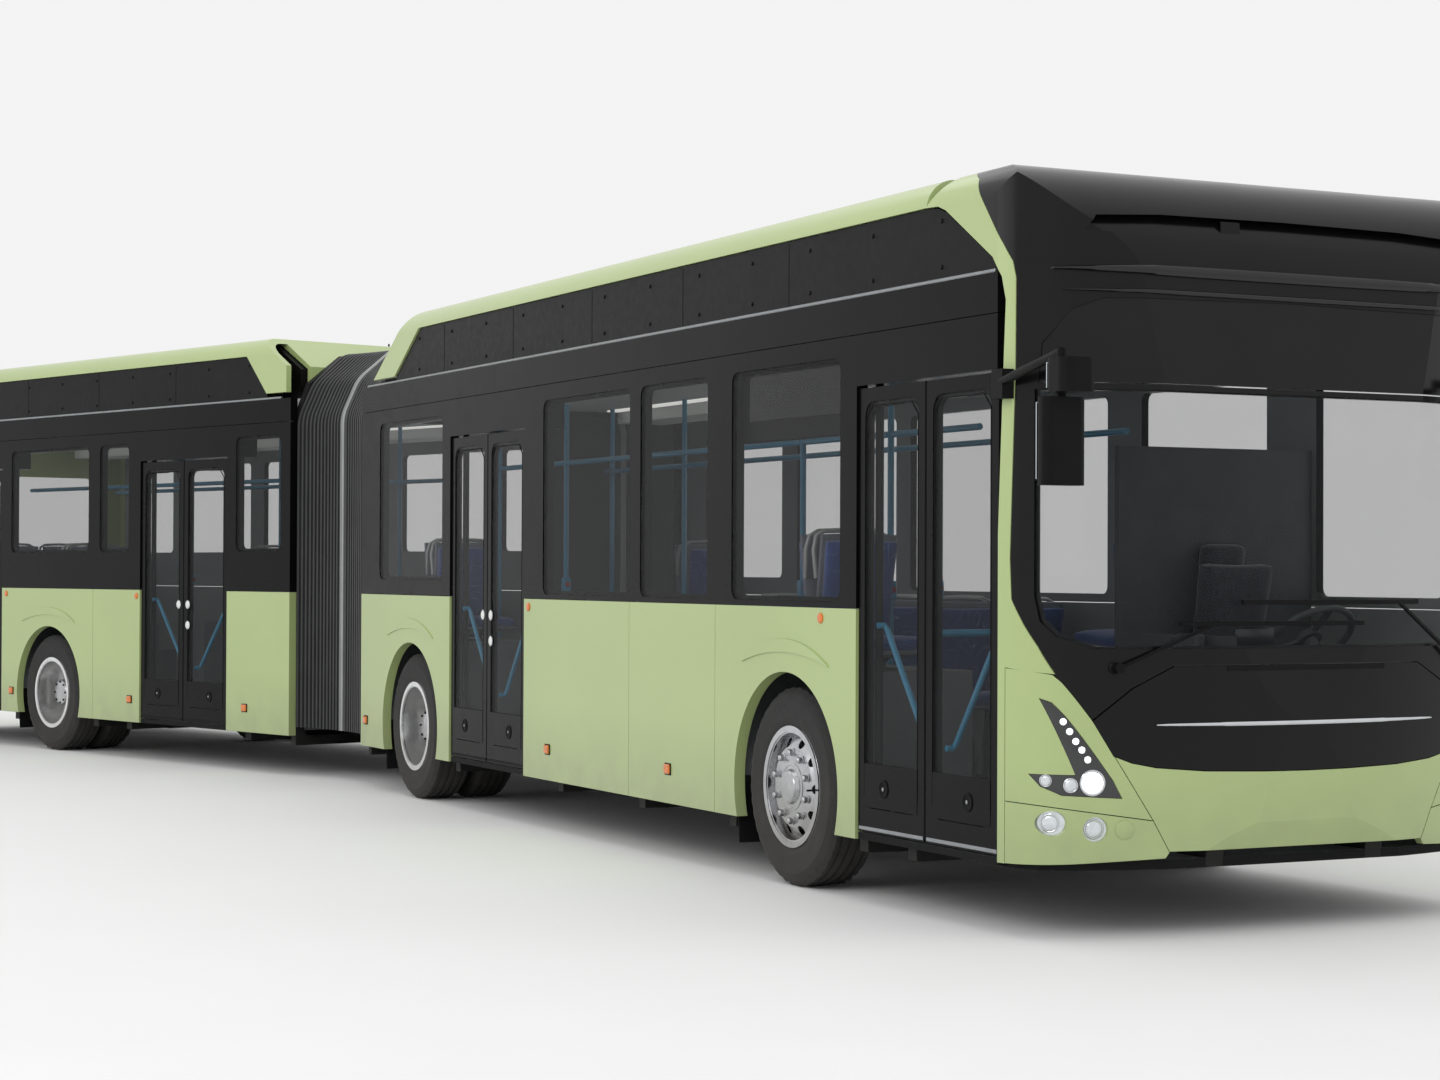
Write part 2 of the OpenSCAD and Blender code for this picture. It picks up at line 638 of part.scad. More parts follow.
module front_bumper() color("#b4c48f") place() difference() {
  intersection() {
    nose_shell(0, nose_t);
    along_x(1800, nose_x + 60) mirrored(concat([[0, 368], [half - 606, 368], [half - 585, 340],
      [half + 20, 312],
      [half + 20, 1140]], [for (i = [len(mask_edge) - 1:-1:0]) mask_edge[i]]));
    slab(tip + 46 + gap, nose_x + 60, -half - 1, half + 1, 300, 1200);
  }
  for (s = [-1, 1]) {
    along_x(1800, nose_x + 60) {
      seam2d([s*(half - 335), 822], [s*(half - 532), 498], gap);
      seam2d([s*(half - 532), 498], [s*(half - 606), 360], gap);
      seam2d([s*(half - 532), 498], [s*(half + 20), 579], gap);
      seam2d([s*(half - 135), 1112], [s*(half + 20), 1144], gap);
    }
    difference() {
      along_x(1800, nose_x + 60) polygon([for (p = headlamp) [s*p[0], p[1]]]);
      nose(24);
    }
    for (f = fogs) translate([nose_x - 400, s*f[0], f[1]]) rotate([0, 90, 0]) cylinder(r = 52, h = 500);
  }
  translate([nose_x - 300, tow_y, tow_z]) rotate([0, 90, 0]) cylinder(r = 21, h = 400);
}

module windscreen() color("#4a5256") place() for (p = [screen, header])
  intersection() {
    nose_shell(6, 18);
    along_x(1900, nose_x + 60) translate([0, p[0][1]/2 + p[len(p) - 1][1]/2]) scale([0.997, 0.994])
      translate([0, -p[0][1]/2 - p[len(p) - 1][1]/2]) mirrored(p);
  }

module front_lamps() color("#e8ecef") place() for (s = [-1, 1]) {
  intersection() {
    nose_shell(3, 24);
    along_x(1800, nose_x + 60) offset(delta = -gap/2) polygon([for (p = headlamp) [s*p[0], p[1]]]);
  }
  for (f = fogs)
    intersection() {
      nose_shell(16, nose_t - 1);
      translate([nose_x - 400, s*f[0], f[1]]) rotate([0, 90, 0]) cylinder(r = 52 - fit, h = 500);
    }
}

// Wipers: pivot across and up, arm's end across, blade from and to across, blade height
wiper_rows = [[367 - half, 1140, -480, -640, 290, 1325], [half - 370, 1150, 500, -350, 620, 1415]];

module wipers() color("#202224") place() for (w = wiper_rows) {
  a = [nose_at(w[0], w[1]), w[0], w[1]];
  b = [nose_at(w[2], w[5]) + 24, w[2], w[5]];
  rod(a - [nose_t - 4, 0, 0], a + [42, 0, 0], 22);
  bar(a + [32, 0, 0], b, 13);
  along_z(w[5] - 10, w[5] + 10) polygon(concat(
    [for (i = [0:8]) [nose_at(w[3] + (w[4] - w[3])*i/8, w[5]) + 34, w[3] + (w[4] - w[3])*i/8]],
    [for (i = [8:-1:0]) [nose_at(w[3] + (w[4] - w[3])*i/8, w[5]) + 14, w[3] + (w[4] - w[3])*i/8]]));
}

module mirrors() color("#1c1e1f") place() both() {
  my = half + 65;
  mx = tip + 600;
  difference() {
    slab(tip + 4, tip + 92, half - 60, half + 36, body_h - 1020, body_h - 895);
    nose(0);
  }
  rod([tip + 48, half + 16, body_h - 950], [mx, my, body_h - 862], 20);
  translate([mx, my, body_h - 1090]) cylinder(r = 20, h = 240);
  along_z(body_h - 1400, body_h - 1045) translate([mx - 45, my - 100]) rr(0, 85, 0, 200, 36);
  along_z(body_h - 1028, body_h - 890) translate([mx - 15, my - 90]) rr(0, 150, 0, 165, 45);
}

module driver_cab() color("#55595c") place() {
  along_y(-380, inner - 60) polygon([[tip - 20, 620], [nose_x - 480, 600], [nose_x - 420, 1000],
    [nose_x - 460, 1120],
    [tip - 120, 1140], [tip - 300, 1080], [tip - 330, 980], [tip - 60, 900]]);
  slab(tip - 60, tip + 20, -330, inner - 100, floor_z, 640);
  slab(d1[0] + 150, d1[0] + 190, 60, inner - 5, floor_z, ceil_z - 550);
  slab(d1[0] + 189, d1[0] + 1100, 60, 90, floor_z, 1250);
  rod([tip - 90, driver_y, 900], [tip - 330, driver_y, 1235], 32);
  translate([tip - 330, driver_y, 1235]) rotate([0, -41, 0]) {
    rotate_extrude() translate([215, 0]) circle(16, $fn = 24);
    for (a = [0, 120, 240]) rotate([0, 0, a]) slab(0, 215, -14, 14, -8, 8);
    cylinder(r = 60, h = 30, center = true);
  }
}

module driver_seat() color("#2f3236") place() {
  z = floor_z + 240;
  along_y(driver_y - 230, driver_y + 230) polygon([[tip - 480, z + 310], [tip - 470, z + 370],
    [tip - 520, z + 400],
    [tip - 870, z + 370], [tip - 990, z + 1070], [tip - 1035, z + 1080], [tip - 1055, z + 1040],
    [tip - 945, z + 280]]);
  slab(tip - 900, tip - 600, driver_y - 150, driver_y + 150, z, z + 310);
}

module front_seats() color("#33509a") place() {
  for (i = [0:3]) {
    if (i < 3) seat(d1[0] - 1850 - i*720, -seat_y, floor_z + 440, 1, 440);
    seat(d1[0] - 1850 - i*720, seat_y, floor_z + 440, 1, 440);
    seat(d1[0] - 1850 - i*720, seat_y - 450, floor_z + 440, 1, 440);
  }
  for (s = [-1, 1], x = [-290, 310]) seat(x, s*(seat_y - 20), tyre_r + arch_r + 78, x > 0 ? 1 : -1, 60);
  for (s = [-1, 1], x = [x2 - 290, x2 + 310]) seat(x, s*(seat_y - 20), tyre_r + arch_r + 78,
    x > x2 ? 1 : -1, 60);
}

module pole(x, y, z1) translate([x, y, floor_z]) cylinder(r = rail_r, h = z1 - floor_z, $fn = 24);

// Row of poles, rear one first, with an upper rail in lengths between them
module rail_row(x0, x1, y, poles) {
  z = ceil_z - 450;
  for (i = [0:len(poles)])
    rod([i == 0 ? x0 : poles[i - 1] + rail_r + fit, y, z],
      [i == len(poles) ? x1 : poles[i] - rail_r - fit, y, z], rail_r);
  for (x = poles) pole(x, y, ceil_z);
}

module front_handrails() color("#1f9aa8") place() {
  for (s = [-1, 1])
    rail_row(end1 + 400, d1[0] - 300, s*row_y, [end1 + 500, x2 + 700, d1[0] - 2200, d1[0] - 1200]);
  pole(d1[0] + 30, -row_y, ceil_z);
  rod([d1[0] + 30, -row_y - rail_r - fit, 1250], [d1[0] + 30, 50 - seat_y + rail_r + fit, 1250], rail_r);
  pole(d1[0] + 30, 50 - seat_y, 1250 + rail_r);
}

module front_axle() color("#3a3c3e") place() {
  slab(-60, 60, 360 - king_y, king_y - 360, 148, 205);
  slab(-45, 45, 222 - king_y, king_y - 222, 148, 205);
  both() {
    slab(-45, 45, king_y - 282, king_y - 222, 148, tyre_r + 46);
    difference() {
      union() {
        slab(-45, 45, king_y - 260, king_y, tyre_r - 46, tyre_r + 46);
        translate([0, king_y, tyre_r - 46]) cylinder(r = 48, h = 92);
      }
      translate([0, king_y, tyre_r - 60]) cylinder(r = 24 + fit, h = 120);
    }
    slab(-60, 60, rail_y0, rail_y1, 200, 222);
  }
}

module middle_axle() color("#3a3c3e") place() translate([x2, 0, 0]) twin_axle();

module bellows() color("#232527") place() {
  n = 14;
  lap = 11;
  bh = joint_half - lap - fit;
  for (i = [0:n]) {
    t = i/n;
    q = i % 2 == 0 ? 0 : 34;
    w = 2*bh/(n + 1);
    translate([xp, 0, 0]) rotate([0, 0, bend*t]) translate([(bh - w/2)*(1 - 2*t), 0, 0])
      along_x(-w/2 - lap, w/2 + lap) difference() {
        mirrored([[0, 360 + q/2], [inner + 20 - q, 360 + q/2], [inner + 20 - q, cant_z - 155],
          [inner - 105 - q, cant_z + 115 - q], [inner - 385, body_h - 120 - q], [0, body_h - 120 - q]]);
        mirrored([[0, 350], [inner - 65 - q/2, 350], [inner - 65 - q/2, cant_z - 175],
          [inner - 175 - q/2, cant_z + 45 - q/2], [inner - 435, body_h - 210 - q/2], [0,
          body_h - 210 - q/2]]);
      }
  }
}

module knuckle_left() color("#55585a") place() knuckle();

module knuckle_right() color("#55585a") place() mirror([0, 1, 0]) knuckle();

module tyre_front_left() color("#1a1a1b") place() at_axle(0) tyre_at(tyre_mid);

module tyre_front_right() color("#1a1a1b") place() mirror([0, 1, 0]) at_axle(0) tyre_at(tyre_mid);

module rim_front_left() color("#c3c6c8") place() at_axle(0) front_rim();

module rim_front_right() color("#c3c6c8") place() mirror([0, 1, 0]) at_axle(0) front_rim();

module twin_tyres() {
  tyre_at(tyre_mid);
  tyre_at(tyre_mid - twin);
}

module tyres_middle_left() color("#1a1a1b") place() at_axle(x2) twin_tyres();

module tyres_middle_right() color("#1a1a1b") place() mirror([0, 1, 0]) at_axle(x2) twin_tyres();

module rims_middle_left() color("#c3c6c8") place() at_axle(x2) twin_rim();

module rims_middle_right() color("#c3c6c8") place() mirror([0, 1, 0]) at_axle(x2) twin_rim();

// Sub-parts of the rear section

module rear_frame() color("#2b2d2f") place() at_rear() {
  rails(xt + 300, end2 - 20, [d3[1] + 200, d3[0] - 300, x3 + 700, x3 - 700, d4[0] - 300]);
  hoop(end2 - 60, end2, 222);
  translate([xp, 0, 228]) cylinder(r = 560, h = rail_z - 228);
  translate([xp, 0, 176]) cylinder(r = 120, h = 60, $fn = 64);
  slab(end2 - 80, xp, -330, 330, 228, rail_z);
}

module rear_floor() color("#6f7375") place() at_rear() {
  difference() {
    union() {
      deck(xt + 120, end2 - 62, [x3]);
      translate([xp, 0, rail_z]) cylinder(r = joint_half - 12, h = floor_t);
      slab(end2 - 63, xp, -joint_half + 12, joint_half - 12, rail_z, floor_z);
      sills([d3, d4]);
    }
    post_bores([d3, d4]);
  }
  wheel_boxes([x3]);
  // Raised floor at the tail
  slab(xt + 120, d4[0] - 60, -inner, inner, floor_z + fit, floor_z + 420);
}

module rear_side_panels() color("#b4c48f") place() at_rear() {
  skirt_side(left_rear_skirt, [x3]);
  mirror([0, 1, 0]) skirt_side(right_rear_skirt, [x3]);
}

module rear_window_band() color("#26282a") place() at_rear() {
  band_side(xt + 170, end2, left_rear_glass, []);
  mirror([0, 1, 0]) band_side(xt + 170, end2, right_rear_glass, [d3, d4]);
}

module rear_windows() color("#3a4044") place() at_rear() {
  panes(left_rear_glass);
  mirror([0, 1, 0]) panes(right_rear_glass);
  along_x(xt + 2, xt + 12) rr(2 - tail_y, tail_y - 2, tail_z0 + 2, tail_z1 - 2, 78);
}

module rear_roof() color("#c9ccca") place() at_rear() {
  slab(xt + 62, end2 - 60, -inner, inner, ceil_z, cant_z);
  both() slab(xt + 300, end2 - 200, inner - 615, inner - 265, ceil_z - 90, ceil_z + 1);
}

module rear_roof_pod() color("#2a2c2e") place() at_rear() {
  deck_y = half - roof_r - 10;
  along_y(-deck_y, deck_y) polygon([[end2 - 112, cant_z], [end2 - 112, body_h - 250], [end2 - 492,
    body_h - 42],
    [xt + 62, body_h - 42], [xt + 62, cant_z]]);
  both() along_y(deck_y - 1, half - 12) polygon([[end2 - 348, pod_z], [end2 - 348, pod_z + 40],
    [end2 - 632, edge_z - gap], [xt + 62, edge_z - gap], [xt + 62, pod_z]]);
  slab(xt + 200, end2 - 700, -deck_y + 60, deck_y - 60, body_h - 43, body_h - 8);
}

module rear_roof_edge() color("#bccb98") place() at_rear() {
  both() roof_edge_side(xt + 62, end2) along_y(-half - 1, half + 1) polygon(rear_edge);
  along_y(-half + roof_r + 59, half - roof_r - 59)
    polygon([[end2 - 62, pod_z + 40], [end2 - 62, body_h - 230], [end2 - 462, body_h], [end2 - 600, body_h],
      [end2 - 600, body_h - 42], [end2 - 480, body_h - 42], [end2 - 100, body_h - 245], [end2 - 100,
      pod_z + 40]]);
}

module rear_end() color("#b4c48f") place() at_rear() difference() {
  intersection() {
    along_x(xt, xt + 400) end_view(0);
    along_z(skirt_z, body_h) rr(xt, xt + 900, -half, half, 170);
    difference() {
      slab(xt, xt + 168, -half, half, skirt_z, body_h);
      slab(xt + 60, xt + 169, -inner, inner, skirt_z - 1, body_h + 1);
      slab(xt + 60, xt + 169, -half - 1, half + 1, pod_z - 3, body_h + 1);
    }
  }
  along_x(xt - 1, xt + 70) rr(25 - tail_y, tail_y - 25, tail_z0 + 25, tail_z1 - 25, 60);
  along_x(xt - 1, xt + 12) rr(-tail_y, tail_y, tail_z0, tail_z1, 80);
  along_x(xt - 1, xt + 8) {
    for (s = [-1, 1]) seam2d([s*(half - 375), 420], [s*(half - 375), 1500], gap);
    for (z = [420, 1500]) seam2d([375 - half, z], [half - 375, z], gap);
  }
  for (s = [-1, 1]) along_x(xt - 1, xt + 30) rr(s*tail_lamp_y - 75, s*tail_lamp_y + 75, 700, 1300, 60);
}

module rear_lamps() color("#b3262a") place() at_rear() for (s = [-1, 1])
  along_x(xt + 4, xt + 30) rr(s*tail_lamp_y - 73, s*tail_lamp_y + 73, 702, 1298, 58);

module rear_seats() color("#33509a") place() at_rear() {
  for (i = [0:2]) {
    seat(end2 - 700 - i*740, seat_y, floor_z + 440, 1, 440);
    seat(end2 - 700 - i*740, seat_y - 450, floor_z + 440, 1, 440);
  }
  for (s = [-1, 1], x = [x3 - 290, x3 + 310]) seat(x, s*(seat_y - 20), tyre_r + arch_r + 78,
    x > x3 ? 1 : -1, 60);
  // Back bench, with as many seats as fit beside each other
  k = floor((seat_y - 20)/465);
  for (i = [-k:k]) seat(xt + 520, i*465, floor_z + 820, 1, 400);
}

module rear_handrails() color("#1f9aa8") place() at_rear() {
  for (s = [-1, 1]) rail_row(d4[0] + 200, end2 - 400, s*row_y, [x3 - 750, x3 + 900, end2 - 1080]);
}

module rear_axle() color("#3a3c3e") place() at_rear() translate([x3, 0, 0]) {
  twin_axle();
  slab(-320, 320, -300, 300, 160, 222);
}

module tyres_rear_left() color("#1a1a1b") place() at_rear() at_axle(x3) twin_tyres();

module tyres_rear_right() color("#1a1a1b") place() at_rear() mirror([0, 1, 0]) at_axle(x3) twin_tyres();

module rims_rear_left() color("#c3c6c8") place() at_rear() at_axle(x3) twin_rim();

module rims_rear_right() color("#c3c6c8") place() at_rear() mirror([0, 1, 0]) at_axle(x3) twin_rim();

// Door leaves

module door1_front_leaf() color("#2c2f31") place() leaf(d1, true);

module door1_rear_leaf() color("#2c2f31") place() leaf(d1, false);

module door2_front_leaf() color("#2c2f31") place() leaf(d2, true);

module door2_rear_leaf() color("#2c2f31") place() leaf(d2, false);

module door3_front_leaf() color("#2c2f31") place() at_rear() leaf(d3, true);

module door3_rear_leaf() color("#2c2f31") place() at_rear() leaf(d3, false);

module door4_front_leaf() color("#2c2f31") place() at_rear() leaf(d4, true);

module door4_rear_leaf() color("#2c2f31") place() at_rear() leaf(d4, false);

front_frame();
front_floor();
front_side_panels();
front_window_band();
front_windows();
front_roof();
front_roof_pod();
front_roof_edge();
front_mask();
front_bumper();
windscreen();
front_lamps();
wipers();
mirrors();
driver_cab();
driver_seat();
front_seats();
front_handrails();
front_axle();
middle_axle();
bellows();
knuckle_left();
knuckle_right();
tyre_front_left();
tyre_front_right();
rim_front_left();
rim_front_right();
tyres_middle_left();
tyres_middle_right();
rims_middle_left();
rims_middle_right();
rear_frame();
rear_floor();
rear_side_panels();
rear_window_band();
rear_windows();
rear_roof();
rear_roof_pod();
rear_roof_edge();
rear_end();
rear_lamps();
rear_seats();
rear_handrails();
rear_axle();
tyres_rear_left();
tyres_rear_right();
rims_rear_left();
rims_rear_right();
door1_front_leaf();
door1_rear_leaf();
door2_front_leaf();
door2_rear_leaf();
door3_front_leaf();
door3_rear_leaf();
door4_front_leaf();
door4_rear_leaf();
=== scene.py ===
import math

import bpy
from mathutils import Matrix, Vector
from mathutils.bvhtree import BVHTree


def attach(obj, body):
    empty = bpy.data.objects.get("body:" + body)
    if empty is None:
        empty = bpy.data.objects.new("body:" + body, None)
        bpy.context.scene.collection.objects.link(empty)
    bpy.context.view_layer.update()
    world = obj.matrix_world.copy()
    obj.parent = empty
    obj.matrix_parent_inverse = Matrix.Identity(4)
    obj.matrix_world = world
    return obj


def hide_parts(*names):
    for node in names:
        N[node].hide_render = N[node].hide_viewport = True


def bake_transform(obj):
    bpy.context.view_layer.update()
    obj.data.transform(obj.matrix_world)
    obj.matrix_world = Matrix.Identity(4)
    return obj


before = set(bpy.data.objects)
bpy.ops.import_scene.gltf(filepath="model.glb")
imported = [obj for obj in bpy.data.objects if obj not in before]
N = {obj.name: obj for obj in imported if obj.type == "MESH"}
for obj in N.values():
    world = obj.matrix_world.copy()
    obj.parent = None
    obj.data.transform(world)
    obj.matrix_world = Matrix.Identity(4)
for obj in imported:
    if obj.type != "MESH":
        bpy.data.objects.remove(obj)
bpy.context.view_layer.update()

# Places are in millimetres in the bus's own frame: front axle at x 0, ground at z 0. FR and RE take the
# front and the turned rear section from there to the shared frame, in metres.
BEND = math.radians(15.5)
PIVOT = Vector((-7460.0, 0.0, 0.0))
AXLE_X, AXLE_Y = 6.400159, 0.968613
FR = Matrix.Translation((AXLE_X, AXLE_Y, 0)) @ Matrix.Diagonal((0.001, 0.001, 0.001, 1))
RE = FR @ Matrix.Translation(PIVOT) @ Matrix.Rotation(BEND, 4, "Z") @ Matrix.Translation(-PIVOT)
HALF, INNER = 1275.0, 1215.0                    # half the body's width, outside and inside
PANEL_Y = HALF - 12                             # face of the door leaves and the roof covers
X2, X3, XT = -5620.0, -12047.0, -15500.0        # middle axle, rear axle, tail
END1, END2 = -6670.0, -8250.0                   # where the two sections end at the joint
D1, D2, D3, D4 = (740, 2002), (-4830, -3508), (-10490, -9150), (-14240, -12900)     # doors, rear to front
TR, TW, TY = 485.0, 276.0, 1245.0               # tyre radius and width, and its outer side
TMID, TWIN = 1107.0, 312.0                      # middle of the outer tyre, and its distance to the inner one
TIP, CAB_Z = 2008.0, 570.0                      # nose reference and the driver's platform


# Materials

def srgb(r, g, b):
    def lin(c):
        c /= 255.0
        return c / 12.92 if c <= 0.04045 else ((c + 0.055) / 1.055) ** 2.4
    return (lin(r), lin(g), lin(b), 1.0)


def shade(c, k):
    return (min(1, c[0] * k), min(1, c[1] * k), min(1, c[2] * k), 1.0)


class Mat:
    """A procedural material: colour mottling, roughness mottling and a bump, all in object space."""

    def __init__(self, name, color, rough=0.5, metal=0.0, vary=0.08, scale=3.0, rvary=0.1,
                 bump=0.1, bscale=400.0, depth=0.0004, **sockets):
        self.m = bpy.data.materials.new(name)
        self.m.use_nodes = True
        self.t = self.m.node_tree
        self.p = self.t.nodes["Principled BSDF"]
        self.co = self.add("ShaderNodeTexCoord").outputs["Object"]
        n = self.noise(scale, 4)
        self.base = self.ramp(n, [(0.3, shade(color, 1 - vary)), (0.7, shade(color, 1 + vary))])
        self.link(self.base, self.p.inputs["Base Color"])
        r = self.add("ShaderNodeMapRange")
        r.inputs["To Min"].default_value = max(0.02, rough - rvary)
        r.inputs["To Max"].default_value = min(1, rough + rvary)
        self.link(self.noise(scale * 4, 5), r.inputs["Value"])
        self.link(r.outputs[0], self.p.inputs["Roughness"])
        self.p.inputs["Metallic"].default_value = metal
        if bump:
            self.bump(self.noise(bscale, 3), bump, depth)
        for k, v in sockets.items():
            self.p.inputs[k.replace("_", " ")].default_value = v

    def add(self, kind):
        return self.t.nodes.new(kind)

    def link(self, a, b):
        self.t.links.new(a, b)

    def noise(self, scale, detail):
        n = self.add("ShaderNodeTexNoise")
        n.inputs["Scale"].default_value = scale
        n.inputs["Detail"].default_value = detail
        self.link(self.co, n.inputs["Vector"])
        return n.outputs["Fac"]

    def ramp(self, fac, stops):
        r = self.add("ShaderNodeValToRGB")
        el = r.color_ramp.elements
        while len(el) < len(stops):
            el.new(0.5)
        for e, (p, c) in zip(el, stops):
            e.position = p
            e.color = c
        self.link(fac, r.inputs["Fac"])
        return r.outputs["Color"]

    def mix(self, fac, a, b):
        m = self.add("ShaderNodeMix")
        m.data_type = "RGBA"
        self.link(fac, m.inputs[0])
        for v, i in ((a, 6), (b, 7)):
            if isinstance(v, tuple):
                m.inputs[i].default_value = v
            else:
                self.link(v, m.inputs[i])
        return m.outputs[2]

    def bump(self, height, strength, distance):
        b = self.add("ShaderNodeBump")
        b.inputs["Strength"].default_value = strength
        b.inputs["Distance"].default_value = distance
        self.link(height, b.inputs["Height"])
        old = self.p.inputs["Normal"]
        if old.is_linked:
            self.link(old.links[0].from_socket, b.inputs["Normal"])
        self.link(b.outputs[0], old)

    def height_dirt(self, low, high, color):
        """Road film that fades out with height above the ground."""
        s = self.add("ShaderNodeSeparateXYZ")
        self.link(self.co, s.inputs[0])
        r = self.add("ShaderNodeMapRange")
        r.inputs["From Min"].default_value = high
        r.inputs["From Max"].default_value = low
        self.link(s.outputs["Z"], r.inputs["Value"])
        m = self.add("ShaderNodeMath")
        m.operation = "MULTIPLY"
        self.link(r.outputs[0], m.inputs[0])
        self.link(self.noise(6, 6), m.inputs[1])
        self.base = self.mix(m.outputs[0], self.base, color)
        self.link(self.base, self.p.inputs["Base Color"])


GREEN = srgb(168, 185, 124)
paint = Mat("body_paint", GREEN, 0.34, vary=0.03, scale=0.9, rvary=0.05, bump=0.05, bscale=900,
            Coat_Weight=0.4, Coat_Roughness=0.08)
paint.height_dirt(0.25, 0.75, srgb(140, 150, 112))
black = Mat("black_panel", srgb(13, 13, 14), 0.2, vary=0.2, scale=1.5, rvary=0.06, bump=0.04, bscale=700,
            Specular_IOR_Level=0.22)
gloss = Mat("gloss_black", srgb(14, 14, 15), 0.1, vary=0.2, scale=1.5, rvary=0.04, bump=0.02, bscale=300,
            Specular_IOR_Level=0.5)
side_black = Mat("side_black", srgb(12, 12, 13), 0.26, vary=0.2, scale=1.5, rvary=0.06, bump=0.04, bscale=700,
                 Specular_IOR_Level=0.07)
satin = Mat("black_satin", srgb(16, 16, 17), 0.42, vary=0.2, scale=5, bump=0.15, bscale=900,
            Specular_IOR_Level=0.1)
trim = Mat("rubber_trim", srgb(12, 12, 13), 0.7, vary=0.25, scale=8, bump=0.25, bscale=500,
           Specular_IOR_Level=0.18)
glass = Mat("glazing", srgb(30, 33, 34), 0.05, vary=0.15, scale=0.8, rvary=0.03, bump=0,
            Alpha=0.2, IOR=1.5, Specular_IOR_Level=0.36)
screen = Mat("screen_glass", srgb(34, 38, 40), 0.04, vary=0.1, scale=0.8, rvary=0.02, bump=0,
             Alpha=0.13, IOR=1.5, Specular_IOR_Level=0.32)
sign_glass = Mat("sign_glass", srgb(13, 13, 15), 0.12, vary=0.3, scale=2, rvary=0.05, bump=0.02, bscale=60,
                 Specular_IOR_Level=0.26)
chrome = Mat("bright_trim", srgb(205, 207, 210), 0.16, 1.0, vary=0.05, scale=12, rvary=0.06, bump=0.03)
alloy = Mat("polished_rim", srgb(198, 200, 204), 0.24, 1.0, vary=0.1, scale=20, rvary=0.1,
            bump=0.08, bscale=300)
alloy.height_dirt(0.1, 0.9, srgb(120, 112, 100))
# Painted light: a lighter, less metallic copy of the polished rim for the deep twin rims of the middle and
# rear wheels, brightened to make up for the shade inside their barrels; its road film near the ground is
# lightened to match
alloy_deep_painted_light = Mat("polished_rim_deep_painted_light", srgb(226, 227, 229), 0.2, 0.8, vary=0.1, scale=20, rvary=0.1,
                 bump=0.08, bscale=300)
alloy_deep_painted_light.height_dirt(0.1, 0.9, srgb(196, 192, 184))
silver = Mat("silver_rail", srgb(150, 153, 156), 0.32, 0.9, vary=0.08, scale=10, bump=0.06)
# Chassis steel: its own black paint, made darker still as painted shade, so that the frames, cross members
# and axles under the floor read as the shade beneath the bus; the road film near the ground is dirt
steel = Mat("chassis_steel", srgb(22, 22, 23), 0.62, vary=0.3, scale=6, bump=0.4, bscale=120,
            Specular_IOR_Level=0.25)
steel.height_dirt(0.1, 0.6, srgb(38, 35, 32))
tyre = Mat("tyre_rubber", srgb(27, 27, 28), 0.78, vary=0.25, scale=14, bump=0.5, bscale=260, depth=0.0008)
tyre.height_dirt(0.0, 1.0, srgb(58, 54, 50))
fold = Mat("bellows_rubber", srgb(29, 30, 31), 0.62, vary=0.3, scale=5, bump=0.5, bscale=700,
           Sheen_Weight=0.15)
hoop_grey = Mat("hoop_grey", srgb(150, 153, 152), 0.4, 0.4, vary=0.06, scale=6, bump=0.1)
vinyl = Mat("floor_cover", srgb(92, 96, 98), 0.6, vary=0.1, scale=4, bump=0.3, bscale=500)
vinyl.link(vinyl.mix(vinyl.ramp(vinyl.noise(260, 2), [(0.62, (0, 0, 0, 1)), (0.68, (1, 1, 1, 1))]),
                     vinyl.base, srgb(150, 152, 150)), vinyl.p.inputs["Base Color"])
lining = Mat("ceiling_lining", srgb(196, 199, 197), 0.55, vary=0.04, scale=2, bump=0.15, bscale=700)
lining_wall = Mat("wall_lining", srgb(120, 123, 124), 0.6, vary=0.05, scale=2, bump=0.3, bscale=700)
dash = Mat("cab_plastic", srgb(62, 65, 68), 0.6, vary=0.1, scale=6, bump=0.5, bscale=900)
teal = Mat("teal_rail", srgb(42, 130, 165), 0.34, vary=0.06, scale=5, rvary=0.08, bump=0.1, bscale=800,
           Coat_Weight=0.3)
shell_grey = Mat("seat_shell", srgb(92, 98, 108), 0.5, vary=0.08, scale=7, bump=0.3, bscale=900)
dark_cloth = Mat("driver_cloth", srgb(44, 46, 54), 0.85, vary=0.2, scale=30, bump=0.6, bscale=1400,
                 Sheen_Weight=0.4)
cloth = Mat("blue_cloth", srgb(33, 62, 128), 0.85, vary=0.12, scale=30, bump=0.6, bscale=1500,
            Sheen_Weight=0.4)
wave = cloth.add("ShaderNodeTexWave")
wave.inputs["Scale"].default_value = 6
wave.inputs["Distortion"].default_value = 9
wave.inputs["Detail"].default_value = 1
wave.inputs["Detail Scale"].default_value = 1.4
cloth.link(cloth.co, wave.inputs["Vector"])
lines = cloth.ramp(wave.outputs["Fac"], [(0.45, (0, 0, 0, 1)), (0.5, (1, 1, 1, 1)), (0.56, (0, 0, 0, 1))])
cloth.link(cloth.mix(lines, cloth.base, srgb(110, 140, 190)), cloth.p.inputs["Base Color"])
weave = cloth.add("ShaderNodeTexChecker")
weave.inputs["Scale"].default_value = 700
cloth.link(cloth.co, weave.inputs["Vector"])
cloth.bump(weave.outputs["Fac"], 0.25, 0.0004)
lens_dark = Mat("lamp_dark_lens", srgb(24, 25, 27), 0.08, vary=0.3, scale=9, rvary=0.03, bump=0.02,
                Coat_Weight=0.8)
lens_clear = Mat("lamp_clear_lens", srgb(214, 219, 222), 0.14, 0.5, vary=0.1, scale=40, rvary=0.05, bump=0.2,
                 bscale=160)
led = Mat("lamp_led", srgb(246, 249, 252), 0.2, vary=0.02, scale=30, bump=0.05,
          Emission_Color=(0.93, 0.97, 1, 1), Emission_Strength=1.6)
